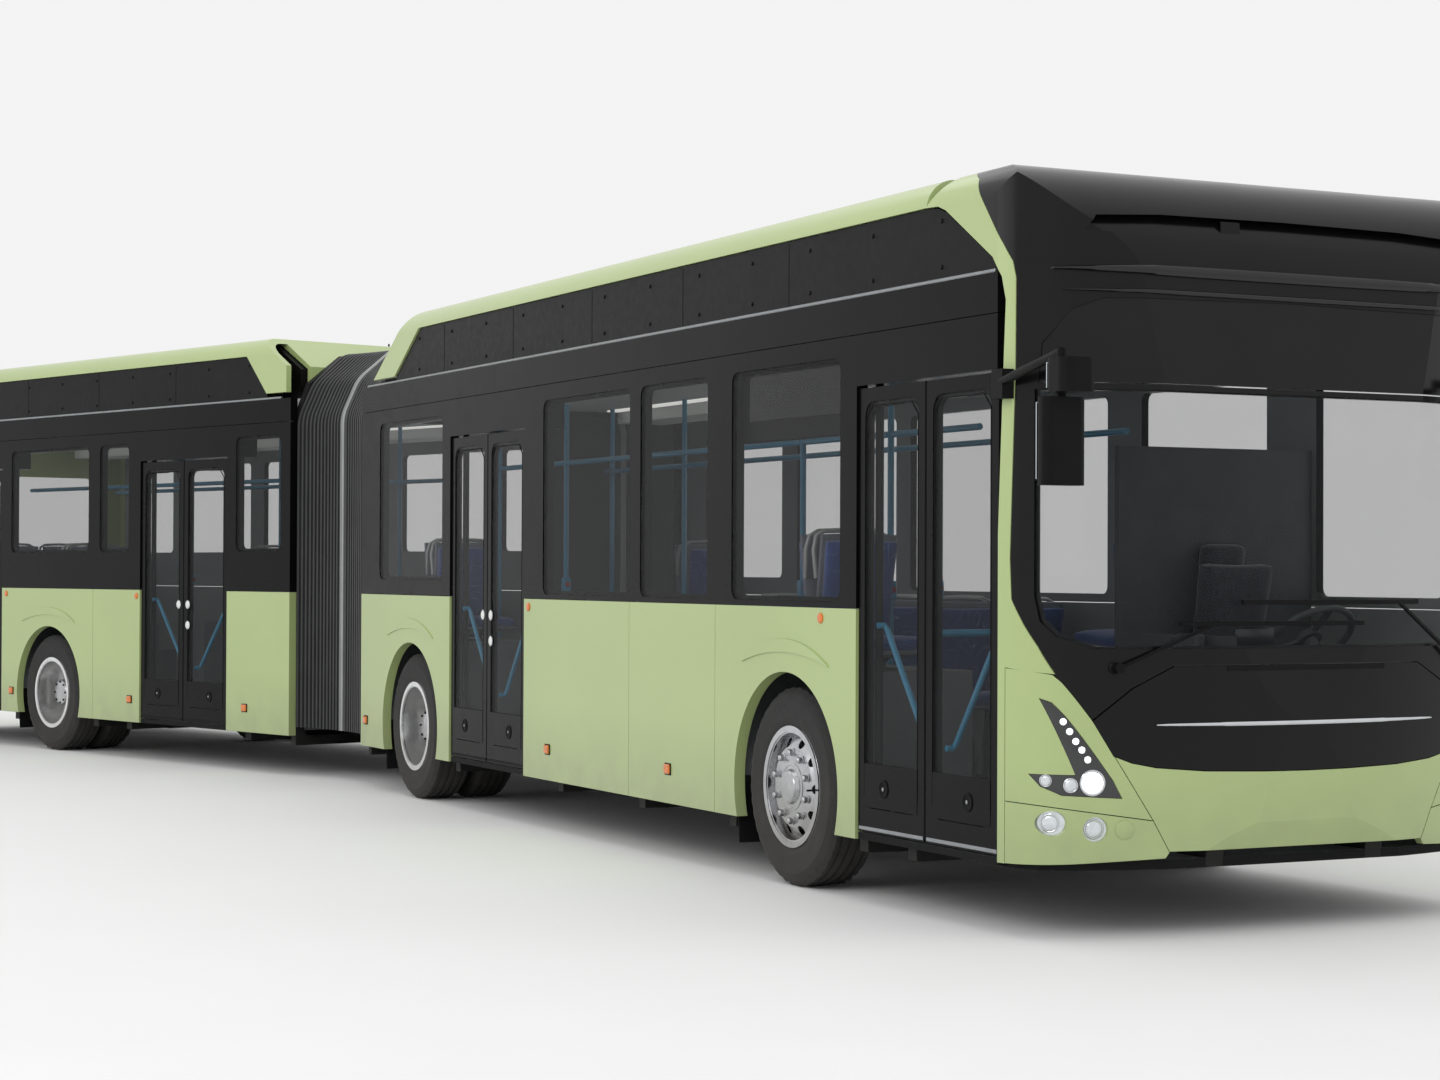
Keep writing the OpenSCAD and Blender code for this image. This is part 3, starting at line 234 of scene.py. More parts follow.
red_lens = Mat("lamp_red", srgb(150, 16, 20), 0.14, vary=0.15, scale=25, bump=0.3, bscale=150,
               Coat_Weight=0.6)
amber = Mat("lamp_amber", srgb(214, 112, 22), 0.2, vary=0.12, scale=40, bump=0.35, bscale=240,
            Coat_Weight=0.5)
button = Mat("push_button", srgb(225, 226, 224), 0.35, vary=0.05, scale=30, bump=0.1)
plate = Mat("blank_plate", srgb(214, 215, 212), 0.4, vary=0.04, scale=8, bump=0.1)
mirror = Mat("mirror_glass", srgb(205, 212, 216), 0.04, 1.0, vary=0.03, scale=4, rvary=0.02, bump=0)
display = Mat("display", srgb(18, 24, 30), 0.12, vary=0.3, scale=30, bump=0.02, Coat_Weight=0.5)
light_strip = Mat("ceiling_light", srgb(236, 238, 235), 0.4, vary=0.02, scale=4, bump=0.05,
                  Emission_Color=(1, 0.98, 0.94, 1), Emission_Strength=0.7)


# Mesh building

class Mesh:
    """Collects shapes, each with one of the piece's materials, into one object."""

    def __init__(self):
        self.v, self.f, self.k = [], [], []

    def add(self, verts, faces, k=0):
        n = len(self.v)
        self.v += [Vector(p) for p in verts]
        self.f += [tuple(n + i for i in f) for f in faces]
        self.k += [k] * len(faces)

    def box(self, lo, hi, c=3.0, k=0):
        """A block with chamfered edges."""
        lo, hi = Vector(lo), Vector(hi)
        c = min(c, *((hi[i] - lo[i]) * 0.4 for i in range(3)))
        idx, verts = {}, []
        for i in range(8):
            s = [(i >> a) & 1 for a in range(3)]
            for a in range(3):
                p = [0, 0, 0]
                for b in range(3):
                    edge = hi[b] if s[b] else lo[b]
                    p[b] = edge if a == b else edge + (-c if s[b] else c)
                idx[(i, a)] = len(verts)
                verts.append(p)
        faces = []
        for a in range(3):
            b, d = (a + 1) % 3, (a + 2) % 3
            for s in (0, 1):
                ring = [idx[((s << a) | (u << b) | (w << d), a)] for u, w in ((0, 0), (1, 0), (1, 1), (0, 1))]
                faces.append(ring if s else ring[::-1])
            for u in (0, 1):
                for w in (0, 1):
                    i0, i1 = (u << b) | (w << d), (1 << a) | (u << b) | (w << d)
                    q = [idx[(i0, b)], idx[(i1, b)], idx[(i1, d)], idx[(i0, d)]]
                    faces.append(q if u == w else q[::-1])
        for i in range(8):
            t = [idx[(i, a)] for a in range(3)]
            faces.append(t if bin(i).count("1") % 2 else t[::-1])
        self.add(verts, faces, k)

    def tube(self, pts, r, n=10, closed=False, k=0):
        """A round bar along points."""
        pts = [Vector(p) for p in pts]
        m, rings, up = len(pts), [], Vector((0.0123, 0.021, 1))
        for i, p in enumerate(pts):
            a = pts[i - 1] if i or closed else p
            b = pts[(i + 1) % m] if i < m - 1 or closed else p
            d = (b - a).normalized()
            if abs(d.dot(up.normalized())) > 0.98:
                up = Vector((1, 0.013, 0.02))
            s = d.cross(up).normalized()
            t = s.cross(d)
            up = t.copy()
            rings += [p + s * r * math.cos(2 * math.pi * j / n) + t * r * math.sin(2 * math.pi * j / n)
                      for j in range(n)]
        faces = []
        for i in range(m if closed else m - 1):
            a, b = i * n, ((i + 1) % m) * n
            faces += [(a + j, b + j, b + (j + 1) % n, a + (j + 1) % n) for j in range(n)]
        if not closed:
            faces += [tuple(range(n)), tuple(reversed(range((m - 1) * n, m * n)))]
        self.add(rings, faces, k)

    def lathe(self, prof, at, axis, n=24, k=0, wobble=None, loop=False):
        """A profile of (radius, along) pairs turned about an axis through at."""
        at, d = Vector(at), Vector(axis).normalized()
        s = d.orthogonal().normalized()
        t = d.cross(s)
        verts = []
        for i in range(n):
            a = 2 * math.pi * i / n
            e = s * math.cos(a) + t * math.sin(a)
            for j, (r, h) in enumerate(prof):
                if wobble:
                    r += wobble(i, j)
                verts.append(at + e * r + d * h)
        m = len(prof)
        faces = []
        for i in range(n):
            a, b = i * m, ((i + 1) % n) * m
            for j in range(m if loop else m - 1):
                j2 = (j + 1) % m
                faces.append((a + j, b + j, b + j2, a + j2))
        if not loop:
            if prof[0][0] > 0.01:
                faces.append(tuple(i * m for i in reversed(range(n))))
            if prof[-1][0] > 0.01:
                faces.append(tuple(i * m + m - 1 for i in range(n)))
        self.add(verts, faces, k)

    def strip(self, rows, k=0):
        """Skin over rows of points; each row is a closed loop, with both ends capped."""
        m = len(rows[0])
        faces = []
        for i in range(len(rows) - 1):
            a, b = i * m, (i + 1) * m
            faces += [(a + j, b + j, b + (j + 1) % m, a + (j + 1) % m) for j in range(m)]
        faces += [tuple(reversed(range(m))), tuple(range((len(rows) - 1) * m, len(rows) * m))]
        self.add([p for r in rows for p in r], faces, k)

    def pillow(self, at, size, turn=0.0, crown=0.0, r=30.0, n=8, side=(0.0, 0.0), k=0):
        """A stuffed block, crowned on its top face; turn tips it about Y, side pulls the edges in."""
        h = Vector(size) * 0.5
        r = min(r, min(h) * 0.95)
        rot = Matrix.Rotation(turn, 3, "Y")
        verts, faces, seen = [], [], {}

        def point(p):
            key = tuple(round(c, 4) for c in p)
            if key in seen:
                return seen[key]
            q = Vector([p[i] * h[i] for i in range(3)])
            core = Vector([max(-(h[i] - r), min(h[i] - r, q[i])) for i in range(3)])
            d = q - core
            if d.length > 1e-6:
                q = core + d.normalized() * r
            lift = (1 - p[0] ** 2) * (1 - p[1] ** 2)
            if p[2] > 0:
                q.z += crown * lift * p[2]
            q.x *= 1 - side[0] * (1 - p[1] ** 2)
            q.y *= 1 - side[1] * (1 - p[0] ** 2)
            seen[key] = len(verts)
            verts.append(Vector(at) + rot @ q)
            return seen[key]

        for a in range(3):
            b, c = (a + 1) % 3, (a + 2) % 3
            for s in (-1, 1):
                for i in range(n):
                    for j in range(n):
                        q = []
                        for u, w in ((i, j), (i + 1, j), (i + 1, j + 1), (i, j + 1)):
                            p = [0, 0, 0]
                            p[a], p[b], p[c] = s, -1 + 2 * u / n, -1 + 2 * w / n
                            q.append(point(p))
                        faces.append(q if s > 0 else q[::-1])
        self.add(verts, faces, k)

    def make(self, name, body, mats, rear=False, slot=None, sharp=35.0, ride=True):
        me = bpy.data.meshes.new(name)
        me.from_pydata([tuple(p) for p in self.v], [], self.f)
        me.transform(RE if rear else FR)
        for m in mats:
            me.materials.append(m.m)
        me.polygons.foreach_set("material_index", self.k)
        me.polygons.foreach_set("use_smooth", [True] * len(me.polygons))
        me.set_sharp_from_angle(angle=math.radians(sharp))
        me.update()
        o = bpy.data.objects.new(name, me)
        bpy.context.scene.collection.objects.link(o)
        if ride:
            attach(o, body)
        return o


def skin(*names):
    """Search tree over CAD nodes, in metres in the shared frame."""
    v, f = [], []
    for n in names:
        k = len(v)
        me = N[n].data
        v += [p.co.copy() for p in me.vertices]
        f += [tuple(k + i for i in p.vertices) for p in me.polygons]
    return BVHTree.FromPolygons(v, f)


nose_tree = skin("front_mask", "front_bumper", "windscreen", "front_lamps")


def on_nose(y, z, out=0.0):
    """Point on the nose at a place of the front view, in bus millimetres, and its outward normal."""
    p = FR @ Vector((3500, y, z))
    hit, normal, _, _ = nose_tree.ray_cast(p, Vector((-1, 0, 0)))
    if hit is None:
        return Vector((2300, y, z)), Vector((1, 0, 0))
    if normal.x < 0:
        normal = -normal
    return FR.inverted() @ hit + normal * out, normal.normalized()


# CAD nodes get their materials

def parts_of(node):
    """Polygon lists of a node's separate solids, the largest first."""
    me = N[node].data
    root = list(range(len(me.vertices)))

    def find(i):
        while root[i] != i:
            root[i] = root[root[i]]
            i = root[i]
        return i

    at = {}
    for v in me.vertices:
        key = tuple(round(c, 5) for c in v.co)
        if key in at:
            root[find(v.index)] = find(at[key])
        else:
            at[key] = v.index
    for p in me.polygons:
        a = find(p.vertices[0])
        for i in p.vertices[1:]:
            root[find(i)] = a
    groups = {}
    for p in me.polygons:
        groups.setdefault(find(p.vertices[0]), []).append(p.index)

    def reach(g):
        pts = [me.vertices[i].co for q in g for i in me.polygons[q].vertices]
        return sum(max(p[a] for p in pts) - min(p[a] for p in pts) for a in range(3))

    return sorted(groups.values(), key=reach, reverse=True)


def dress(node, *mats):
    me = N[node].data
    me.materials.clear()
    for m in mats:
        me.materials.append(m.m)
    for p in me.polygons:
        p.material_index = 0


for names, m in (
        (("front_bumper", "rear_end", "front_roof_edge", "rear_roof_edge"), paint),
        (("front_mask",), black),
        (("front_roof_pod", "rear_roof_pod", "wipers", "mirrors"), satin),
        (("front_frame", "rear_frame", "front_axle", "middle_axle", "rear_axle", "knuckle_left",
          "knuckle_right"), steel),
        (("front_windows", "rear_windows"), glass), (("front_roof", "rear_roof"), lining),
        (("rear_lamps",), red_lens),
        (("driver_cab",), dash), (("front_handrails", "rear_handrails"), teal)):
    for n in names:
        dress(n, m)
for n in N:
    if n.startswith("rim"):
        dress(n, alloy if n.startswith("rim_front") else alloy_deep_painted_light)
    if n.startswith("door"):
        dress(n, side_black, glass)
        for q in parts_of(n)[1]:
            N[n].data.polygons[q].material_index = 1


def inside(node, rear, *mats):
    """Faces that look at the bus's centre line get the second material."""
    dress(node, *mats)
    back = (RE if rear else FR).inverted()
    turn = Matrix.Rotation(-BEND if rear else 0.0, 3, "Z")
    for p in N[node].data.polygons:
        c, n = back @ p.center, turn @ p.normal
        if n.y * c.y < 0 and abs(n.y) > 0.6 and abs(c.y) > 1100:
            p.material_index = 1


for rear, tag in ((False, "front"), (True, "rear")):
    inside(tag + "_side_panels", rear, paint, lining_wall)
    inside(tag + "_window_band", rear, side_black, lining_wall)
    dress(tag + "_floor", vinyl, trim)
    # Painted shade: the floor's low faces that don't look up (its sides and underside) take the black rubber,
    # so they read as the shade beneath the body
    for q in N[tag + "_floor"].data.polygons:
        if q.normal.z < 0.5 and q.center.z < 0.34:
            q.material_index = 1
dress("front_lamps", lens_dark, lens_clear)
for g in parts_of("front_lamps")[2:]:
    for q in g:
        N["front_lamps"].data.polygons[q].material_index = 1
dress("windscreen", screen, sign_glass)
for q in parts_of("windscreen")[1]:
    N["windscreen"].data.polygons[q].material_index = 1


# Nose: lamps, bright strip, caps, brow

def lamp(m, y, z, r, depth, k, n):
    """A domed lens of material k on the nose, in a ring of material 1."""
    p, d = on_nose(y, z, 0.5)
    prof = [(r, -2), (r, depth * 0.25), (r * 0.9, depth * 0.6), (r * 0.6, depth * 0.9), (0.0, depth)]
    m.lathe(prof, p, d, n, k)
    ring = [(r * 1.02, -2), (r * 1.02, depth * 0.35), (r * 1.1, depth * 0.45), (r * 1.2, depth * 0.3),
            (r * 1.22, -2)]
    m.lathe(ring, p, d, n, 1, loop=True)


lamps = Mesh()
for s in (-1, 1):
    for y, z in ((1112, 916), (1089, 875), (1066, 834), (1042, 798), (1018, 757)):
        lamp(lamps, s * y, z, 13, 7, 0, 14)
    for y, z, r, depth, k, n in (
            (999, 660, 46, 16, 0, 28), (1085, 650, 26, 9, 2, 20), (1169, 669, 22, 9, 2, 20),
            (1150, 491, 34, 10, 2, 24), (986, 466, 36, 10, 2, 24)):
        lamp(lamps, s * y, z, r, depth, k, n)
lamps.make("lamp_units", "front_section", [led, chrome, lens_clear], slot="lamp_lens")


def nose_bar(name, y0, y1, z, high, out, mat, steps=36, back=4.0, taper=0.0, slot=None):
    """A bar that follows the nose across the front."""
    m, rows = Mesh(), []
    for i in range(steps + 1):
        t = i / steps
        y = y0 + (y1 - y0) * t
        p, _ = on_nose(y, z)
        h = high * (1 - taper * abs(2 * t - 1) ** 4) / 2
        rows.append([(p.x - back, y, z - h), (p.x + out * 0.7, y, z - h), (p.x + out, y, z - h * 0.5),
                     (p.x + out, y, z + h * 0.5), (p.x + out * 0.7, y, z + h), (p.x - back, y, z + h)])
    m.strip(rows)
    m.make(name, "front_section", [mat], slot=slot, sharp=50)


nose_bar("bright_strip", -735, 735, 900, 17, 11, chrome, taper=0.5, slot="black_panel")
nose_bar("hatch_grip", -410, 430, 1135, 22, 3, trim, slot="black_panel")
nose_bar("brow_lower", -1120, 1120, 2722, 22, 16, gloss, taper=0.8, slot="black_panel")
nose_bar("brow_upper", -1160, 1160, 2812, 44, 26, gloss, taper=0.8, slot="black_panel")
nose_bar("intake_divider", -330, -230, 3005, 95, 2, black, 4, slot="black_panel")

caps = Mesh()
pa, d = on_nose(-866, 505)
pb, d = on_nose(-866, 419)
caps.lathe([(40, -6), (40, 3), (37, 5), (0.0, 5.5)], (pa + pb) / 2, d, 32)
for y, z in ((-908, 1140), (905, 1150)):
    p, d = on_nose(y, z)
    caps.lathe([(30, 38), (30, 48), (22, 56), (0.0, 58)], Vector((p.x, y, z)), (1, 0, 0), 20, 1)
caps.make("nose_caps", "front_section", [paint, satin], slot="body_paint")

sign = Mesh()
sign.box((-600, -1222, 2185), (572, -1178, 2540), 6)
sign.box((-500, -1226, 2290), (548, -1221, 2522), 2, 1)
sign.make("side_sign_blank", "front_section", [satin, sign_glass], slot="black_panel")


# Sides: rails, fasteners, marker lamps, joints between cover panels

RAIL_Z, COVER_Z = (2814, 2829), (2834, 3140)    # rail below the roof cover, and the cover's seams
FIX_Z, FIX_PITCH, SEAM_PITCH = (2880, 3085), 620, 1250


def sides(name, x0, x1, rear, body):
    m = Mesh()
    for s in (-1, 1):
        y0, y1 = sorted((s * 1258, s * 1281))
        m.box((x0, y0, RAIL_Z[0]), (x1, y1, RAIL_Z[1]), 4)
        face = s * PANEL_Y
        n = int((x1 - x0) / FIX_PITCH)
        for i in range(n):
            x = x0 + 420 + i * (x1 - x0 - 900) / max(1, n - 1)
            for z in FIX_Z:
                m.lathe([(11, -1), (11, 3), (8, 6), (0.0, 7)], (x, face, z), (0, s, 0), 12, 1)
        for i in range(1, int((x1 - x0) / SEAM_PITCH)):
            x = x0 + 300 + i * SEAM_PITCH
            ya, yb = sorted((face - s * 2, face + s * 1.2))
            m.box((x - 3, ya, COVER_Z[0]), (x + 3, yb, COVER_Z[1]), 0.5, 2)
    m.make(name, body, [silver, satin, trim], rear=rear, slot="black_panel")


sides("front_cover_rails", END1 + 130, 1985, False, "front_section")
sides("rear_cover_rails", XT + 240, END2 - 130, True, "rear_section")

for rear, body, name, low, high in (
        (False, "front_section", "front_markers", (-1379, -3112, -6551), (384, -3429)),
        (True, "rear_section", "rear_markers", (-8879, -10648, -12709, -14900), (-10544, -12815))):
    m = Mesh()
    for s in (-1, 1):
        for x in low:
            y0, y1 = sorted((s * 1272, s * 1280))
            m.box((x - 40, y0, 448), (x + 40, y1, 512), 6, 1)
            y0, y1 = sorted((s * 1270, s * 1290))
            m.box((x - 33, y0, 454), (x + 33, y1, 506), 7)
        for x in high:
            m.lathe([(26, -3), (26, 4), (20, 9), (0.0, 10)], (x, s * HALF, 1316), (0, s, 0), 20)
    m.make(name, body, [amber, trim], rear=rear, slot="lamp_red")


# Mud flaps behind the wheels

FLAP_X, FLAP_T, FLAP_TOP, FLAP_DROP, FLAP_BOW = 572, 6, 500, 340, 14

for rear, body, name, xs in ((False, "front_section", "front_mud_flaps", (0, X2)),
                             (True, "rear_section", "rear_mud_flaps", (X3,))):
    m = Mesh()
    for x in xs:
        for s in (-1, 1):
            y0, y1 = sorted((s * (960 if x == 0 else 660), s * 1240))
            rows = []
            for i in range(9):
                t = i / 8
                bow = FLAP_BOW * math.sin(math.pi * t)
                z = FLAP_TOP - FLAP_DROP * t
                xa, xb = x - FLAP_X - bow, x - FLAP_X + FLAP_T - bow
                rows.append([(xa, y0, z), (xa, y1, z), (xb, y1, z), (xb, y0, z)])
            m.strip(rows)
            for i in range(3):
                y = y0 + (y1 - y0) * (i + 0.5) / 3
                m.box((x - 570, y - 20, 470), (x - 560, y + 20, FLAP_TOP), 2)
    m.make(name, body, [trim], rear=rear, slot="black_plastic", sharp=60)


# Doors: seals, handle cups, buttons, inner rails

SEAL_Z = (350, 1300, 2380)
GRIP_Z0, GRIP_Z1 = 760, 1290                    # ends of a leaf's inner rail


def door(k, span, rear):
    mid = (span[0] + span[1]) / 2
    ly = -PANEL_Y
    for part in ("front", "rear"):
        f = part == "front"
        x0, x1 = (mid + 8, span[1] - 7) if f else (span[0] + 7, mid - 8)
        m = Mesh()
        edge = x0 if f else x1
        for y in (ly + 8, ly + 30):
            m.tube([(edge, y, z) for z in SEAL_Z], 5.5, 8)
        cx = (x0 + x1) / 2
        m.box((x0 + 8, ly - 3, 345), (x1 - 8, ly + 2, 362), 2, 2 if k == 1 else 0)
        px = cx + (60 if f else -60)
        m.box((x0 + 60, ly - 2, 452), (x1 - 60, ly + 3, 655), 3, 5)
        m.lathe([(42, -1), (42, 4), (36, 5), (30, 1), (0.0, 0.5)], (px, ly - 2, 545), (0, -1, 0), 24, 0)
        m.lathe([(9, -1), (9, 6), (0.0, 8)], (px, ly - 2, 545), (0, -1, 0), 14, 2)
        if k in (2, 3):
            bx = x0 + 62 if f else x1 - 62
            for z in (1256, 1095) if f else (1256,):
                m.lathe([(27, -1), (27, 4), (23, 8), (0.0, 9)], (bx, ly, z), (0, -1, 0), 22, 3)
                m.lathe([(27.5, -1), (27.5, 5), (33, 4), (33, -1)], (bx, ly, z), (0, -1, 0), 22, 1, loop=True)
        gx0, gx1, gz0, gz1, cut = x0 + 66, x1 - 66, 468, 2305, 60
        seal = [(gx0, gz0 + cut), (gx0, gz1 - cut), (gx0 + cut, gz1), (gx1 - cut, gz1), (gx1, gz1 - cut),
                (gx1, gz0 + cut), (gx1 - cut, gz0), (gx0 + cut, gz0)]
        m.tube([(x, ly + 3.5, z) for x, z in seal], 4, 6, True)
        yb = ly + 40
        yi = yb + 42
        xa, xb = (x0 + 110, x1 - 110) if f else (x1 - 110, x0 + 110)
        bow = (xb - xa) * 0.04
        m.tube([(xa, yb, GRIP_Z0), (xa, yi - 8, GRIP_Z0), (xa + bow, yi, GRIP_Z0 + 20),
                (xb - bow, yi, GRIP_Z1 - 20), (xb, yi - 8, GRIP_Z1), (xb, yb, GRIP_Z1)], 14, 12, k=4)
        m.make("door%d_%s_fittings" % (k, part), "door%d_%s" % (k, part),
               [trim, chrome, silver, button, teal, side_black], rear=rear, slot="door_black")


for k, span in enumerate((D1, D2, D3, D4), 1):
    door(k, span, k > 2)


# Wheels: tyres with tread, nuts, hub caps, valves

def tyre_profile(y):
    h = TW / 2
    outer = [(287, -h + 19), (312, -h + 7), (345, -h + 3), (362, -h + 5), (390, -h + 1), (425, -h + 2),
             (430, -h + 5), (453, -h + 11), (468, -h + 21), (479, -h + 33)]
    tread = []
    for c in (-70, -24, 24, 70):
        tread += [(TR, c - 9), (474, c - 6), (474, c + 6), (TR, c + 9)]
    prof = outer + [(TR, -h + 37)] + tread + [(TR, h - 37)] + [(r, -a) for r, a in reversed(outer)]
    return [(r, a + y) for r, a in prof], len(outer)


def tyre_piece(name, x, s, ys, rear, body, node):
    m = Mesh()
    for y in ys:
        prof, o = tyre_profile(y)
        last = len(prof)

        def wobble(i, j):
            if o - 3 <= j <= o + 1 or last - o - 2 <= j <= last - o + 2:
                return -6.0 if i % 3 == 0 else 0.0
            if prof[j][0] == TR and i % 6 == 3:
                return -2.5
            return 0.0

        m.lathe(prof, (x, 0, TR), (0, s, 0), 120, 0, wobble, loop=True)
    ob = m.make(name, body, [tyre], rear=rear, slot="tyre_rubber", sharp=24)
    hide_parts(node)


def hex_nut(m, at, d, r, h, k):
    m.lathe([(r * 1.25, 0), (r * 1.25, 3), (r * 1.05, 4)], at, d, 18, k)
    m.lathe([(r, 3), (r, h * 0.8), (r * 0.86, h * 0.92), (r * 0.6, h), (0.0, h + 1)], at, d, 6, k)


def wheel_trim(name, x, s, rear, body, twin):
    m = Mesh()
    face = TMID - 145 if twin else TY - 18.5
    for i in range(10):
        a = 2 * math.pi * (i + 0.5) / 10
        at = (x + 167 * math.cos(a), s * face, TR + 167 * math.sin(a))
        hex_nut(m, at, (0, s, 0), 17, 34 if twin else 30, 0)
    if twin:
        m.lathe([(112, 0), (110, 60), (104, 92), (98, 98), (60, 104), (0.0, 106)], (x, s * (TMID - 46), TR),
                (0, s, 0), 40, 0)
        for i in range(8):
            a = 2 * math.pi * i / 8
            hex_nut(m, (x + 88 * math.cos(a), s * (TMID + 50), TR + 88 * math.sin(a)), (0, s, 0), 8, 12, 1)
    else:
        m.lathe([(78, 0), (74, 6), (40, 12), (0.0, 13)], (x, s * (TY + 7), TR), (0, s, 0), 32, 0)
        m.lathe([(118, 0), (118, 4), (106, 6), (100, 0)], (x, s * (TY - 14), TR), (0, s, 0), 40, 0, loop=True)
    lip = [(262, -4), (262, 4), (280, 9), (294, 8), (300, 0), (292, -4)]
    m.lathe(lip, (x, s * (TMID + TW / 2 - 16), TR), (0, s, 0), 64, 0, loop=True)
    v = Vector((x + 240, s * (face + 8), TR))
    m.tube([v, v + Vector((8, s * 22, 0)), v + Vector((10, s * 42, 0))], 5, 8, k=1)
    m.make(name, body, [alloy, trim], rear=rear, slot="polished_rim")


for side, s in (("left", 1), ("right", -1)):
    tyre_piece("tread_front_" + side, 0, s, [TMID], False, "wheel_front_" + side, "tyre_front_" + side)
    wheel_trim("nuts_front_" + side, 0, s, False, "wheel_front_" + side, False)
    for row, x, rear in (("middle", X2, False), ("rear", X3, True)):
        tyre_piece("tread_%s_%s" % (row, side), x, s, [TMID, TMID - TWIN], rear, "wheel_%s_%s" % (row, side),
                   "tyres_%s_%s" % (row, side))
        wheel_trim("nuts_%s_%s" % (row, side), x, s, rear, "wheel_%s_%s" % (row, side), True)


# Bellows: fine folds fanned about the joint, with a grey hoop in the middle

def rounded(pts, r, n=5):
    out = [pts[0]]
    for i in range(1, len(pts) - 1):
        a, b, c = Vector(pts[i - 1]), Vector(pts[i]), Vector(pts[i + 1])
        p, q = b + (a - b).normalized() * r, b + (c - b).normalized() * r
        out += [tuple(p.lerp(b, t).lerp(b.lerp(q, t), t)) for t in [j / n for j in range(n + 1)]]
    return out + [pts[-1]]


def arch_loop(d, low=362.0):
    """Closed outline of the arch in the plane across the joint; d sets the outer skin in."""
    o = [(INNER + 20 - d, low), (INNER + 20 - d, 2660), (INNER - 105 - d, 2930 - d), (INNER - 385, 3168 - d)]
    i = [(INNER - 66, low), (INNER - 66, 2640), (INNER - 176, 2862), (INNER - 436, 3082)]
    o = o + [(-y, z) for y, z in reversed(o)]
    i = i + [(-y, z) for y, z in reversed(i)]
    return rounded(o, 70) + rounded(i, 60)[::-1]


def fan(t, loop, reach=788.0):
    """The outline at share t of the way from the front section to the rear one, turned about the pivot."""
    m = (Matrix.Translation(PIVOT) @ Matrix.Rotation(BEND * t, 4, "Z")
         @ Matrix.Translation((reach * (1 - 2 * t), 0, 0)))
    return [m @ Vector((0, y, z)) for y, z in loop]


folds, hoops = Mesh(), Mesh()
for a, b in ((0.0, 0.478), (0.522, 1.0)):
    rows, n = [], 13
    for i in range(n):
        for u, d in ((0.04, 2), (0.42, 0), (0.58, 24), (0.92, 26)):
            rows.append(fan(a + (b - a) * (i + u) / n, arch_loop(d)))
    folds.strip(rows)
hoops.strip([fan(t, arch_loop(d)) for t, d in (
    (0.4785, -1), (0.484, -6), (0.496, -6), (0.499, 8), (0.501, 8), (0.504, -6), (0.516, -6), (0.5215, -1))])
o = folds.make("bellows_folds", None, [fold], slot="bellows_rubber", sharp=50, ride=False)
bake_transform(o)
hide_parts("bellows")
o = hoops.make("bellows_hoop", None, [hoop_grey], slot="bellows_rubber", sharp=50, ride=False)
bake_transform(o)


# Seats: padded cushion and back in a moulded shell, with a hoop over the back

def seat_rows(rows, rear, body, tag, node):
    pads, shells = Mesh(), Mesh()
    for x, y, z, d, leg in rows:
        sit, lean = math.radians(-4) * d, math.radians(-80.5) * d
        pads.pillow((x + 30 * d, y, z + 52), (400, 415, 66), sit, 22, 30, 8, (0.03, 0.04))
        pads.pillow((x - 195 * d, y, z + 330), (480, 400, 56), lean, 20, 26, 8, (0.03, 0.05))
        shells.pillow((x - 232 * d, y, z + 322), (560, 424, 34), lean, 0, 16, 6, (0.0, 0.03))
        shells.pillow((x + 10 * d, y, z + 12), (440, 424, 30), sit, 0, 14, 5)
        bx = x - 252 * d
        grip = [(10, -205, 380), (-6, -212, 520), (-12, -196, 588), (-14, -150, 612), (-14, 0, 618)]
        grip += [(a, -b, c) for a, b, c in grip[3::-1]]
        shells.tube([(bx + a * d, y + b, z + c) for a, b, c in grip], 12, 10, k=1)
        for yy in (-90, 90):
            shells.tube([(x - 60 * d, y + yy, z + 4), (x - 40 * d, y + yy * 0.6, z - leg * 0.5),
                         (x - 20 * d, y + yy * 0.5, z - leg + 4)], 16, 10, k=2)
        shells.box((x - 130, y - 80, z - leg), (x + 90, y + 80, z - leg + 8), 3, 2)
    o = pads.make(tag + "_seat_pads", body, [cloth], rear=rear, slot="blue_cloth", sharp=60)
    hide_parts(node)
    shells.make(tag + "_seat_shells", body, [shell_grey, hoop_grey, steel], rear=rear,
                slot="cab_plastic", sharp=50)


# Each seat is x, y, seat height, the way it faces (1 forward) and leg height.
WALL_Y, AISLE_Y, BOX_Y = 950, 500, 930
SEAT_Z, LEG = 770, 440
BOX_Z, BOX_LEG = TR + 562 + 78, 60              # on the wheel boxes
BACK_TO_BACK = ((-290, -1), (310, 1))
BENCH_Z, BENCH_LEG, BENCH_PITCH = 1150, 400, 465
front_rows, rear_rows = [], []
for i in range(4):
    x = D1[0] - 1850 - i * 720
    if i < 3:
        front_rows.append((x, -WALL_Y, SEAT_Z, 1, LEG))
    front_rows += [(x, y, SEAT_Z, 1, LEG) for y in (WALL_Y, AISLE_Y)]
for s in (-1, 1):
    front_rows += [(x + dx, s * BOX_Y, BOX_Z, d, BOX_LEG) for x in (0, X2) for dx, d in BACK_TO_BACK]
    rear_rows += [(X3 + dx, s * BOX_Y, BOX_Z, d, BOX_LEG) for dx, d in BACK_TO_BACK]
for i in range(3):
    rear_rows += [(END2 - 700 - i * 740, y, SEAT_Z, 1, LEG) for y in (WALL_Y, AISLE_Y)]
rear_rows += [(XT + 520, i * BENCH_PITCH, BENCH_Z, 1, BENCH_LEG) for i in range(-2, 3)]
seat_rows(front_rows, False, "front_section", "front", "front_seats")
seat_rows(rear_rows, True, "rear_section", "rear", "rear_seats")

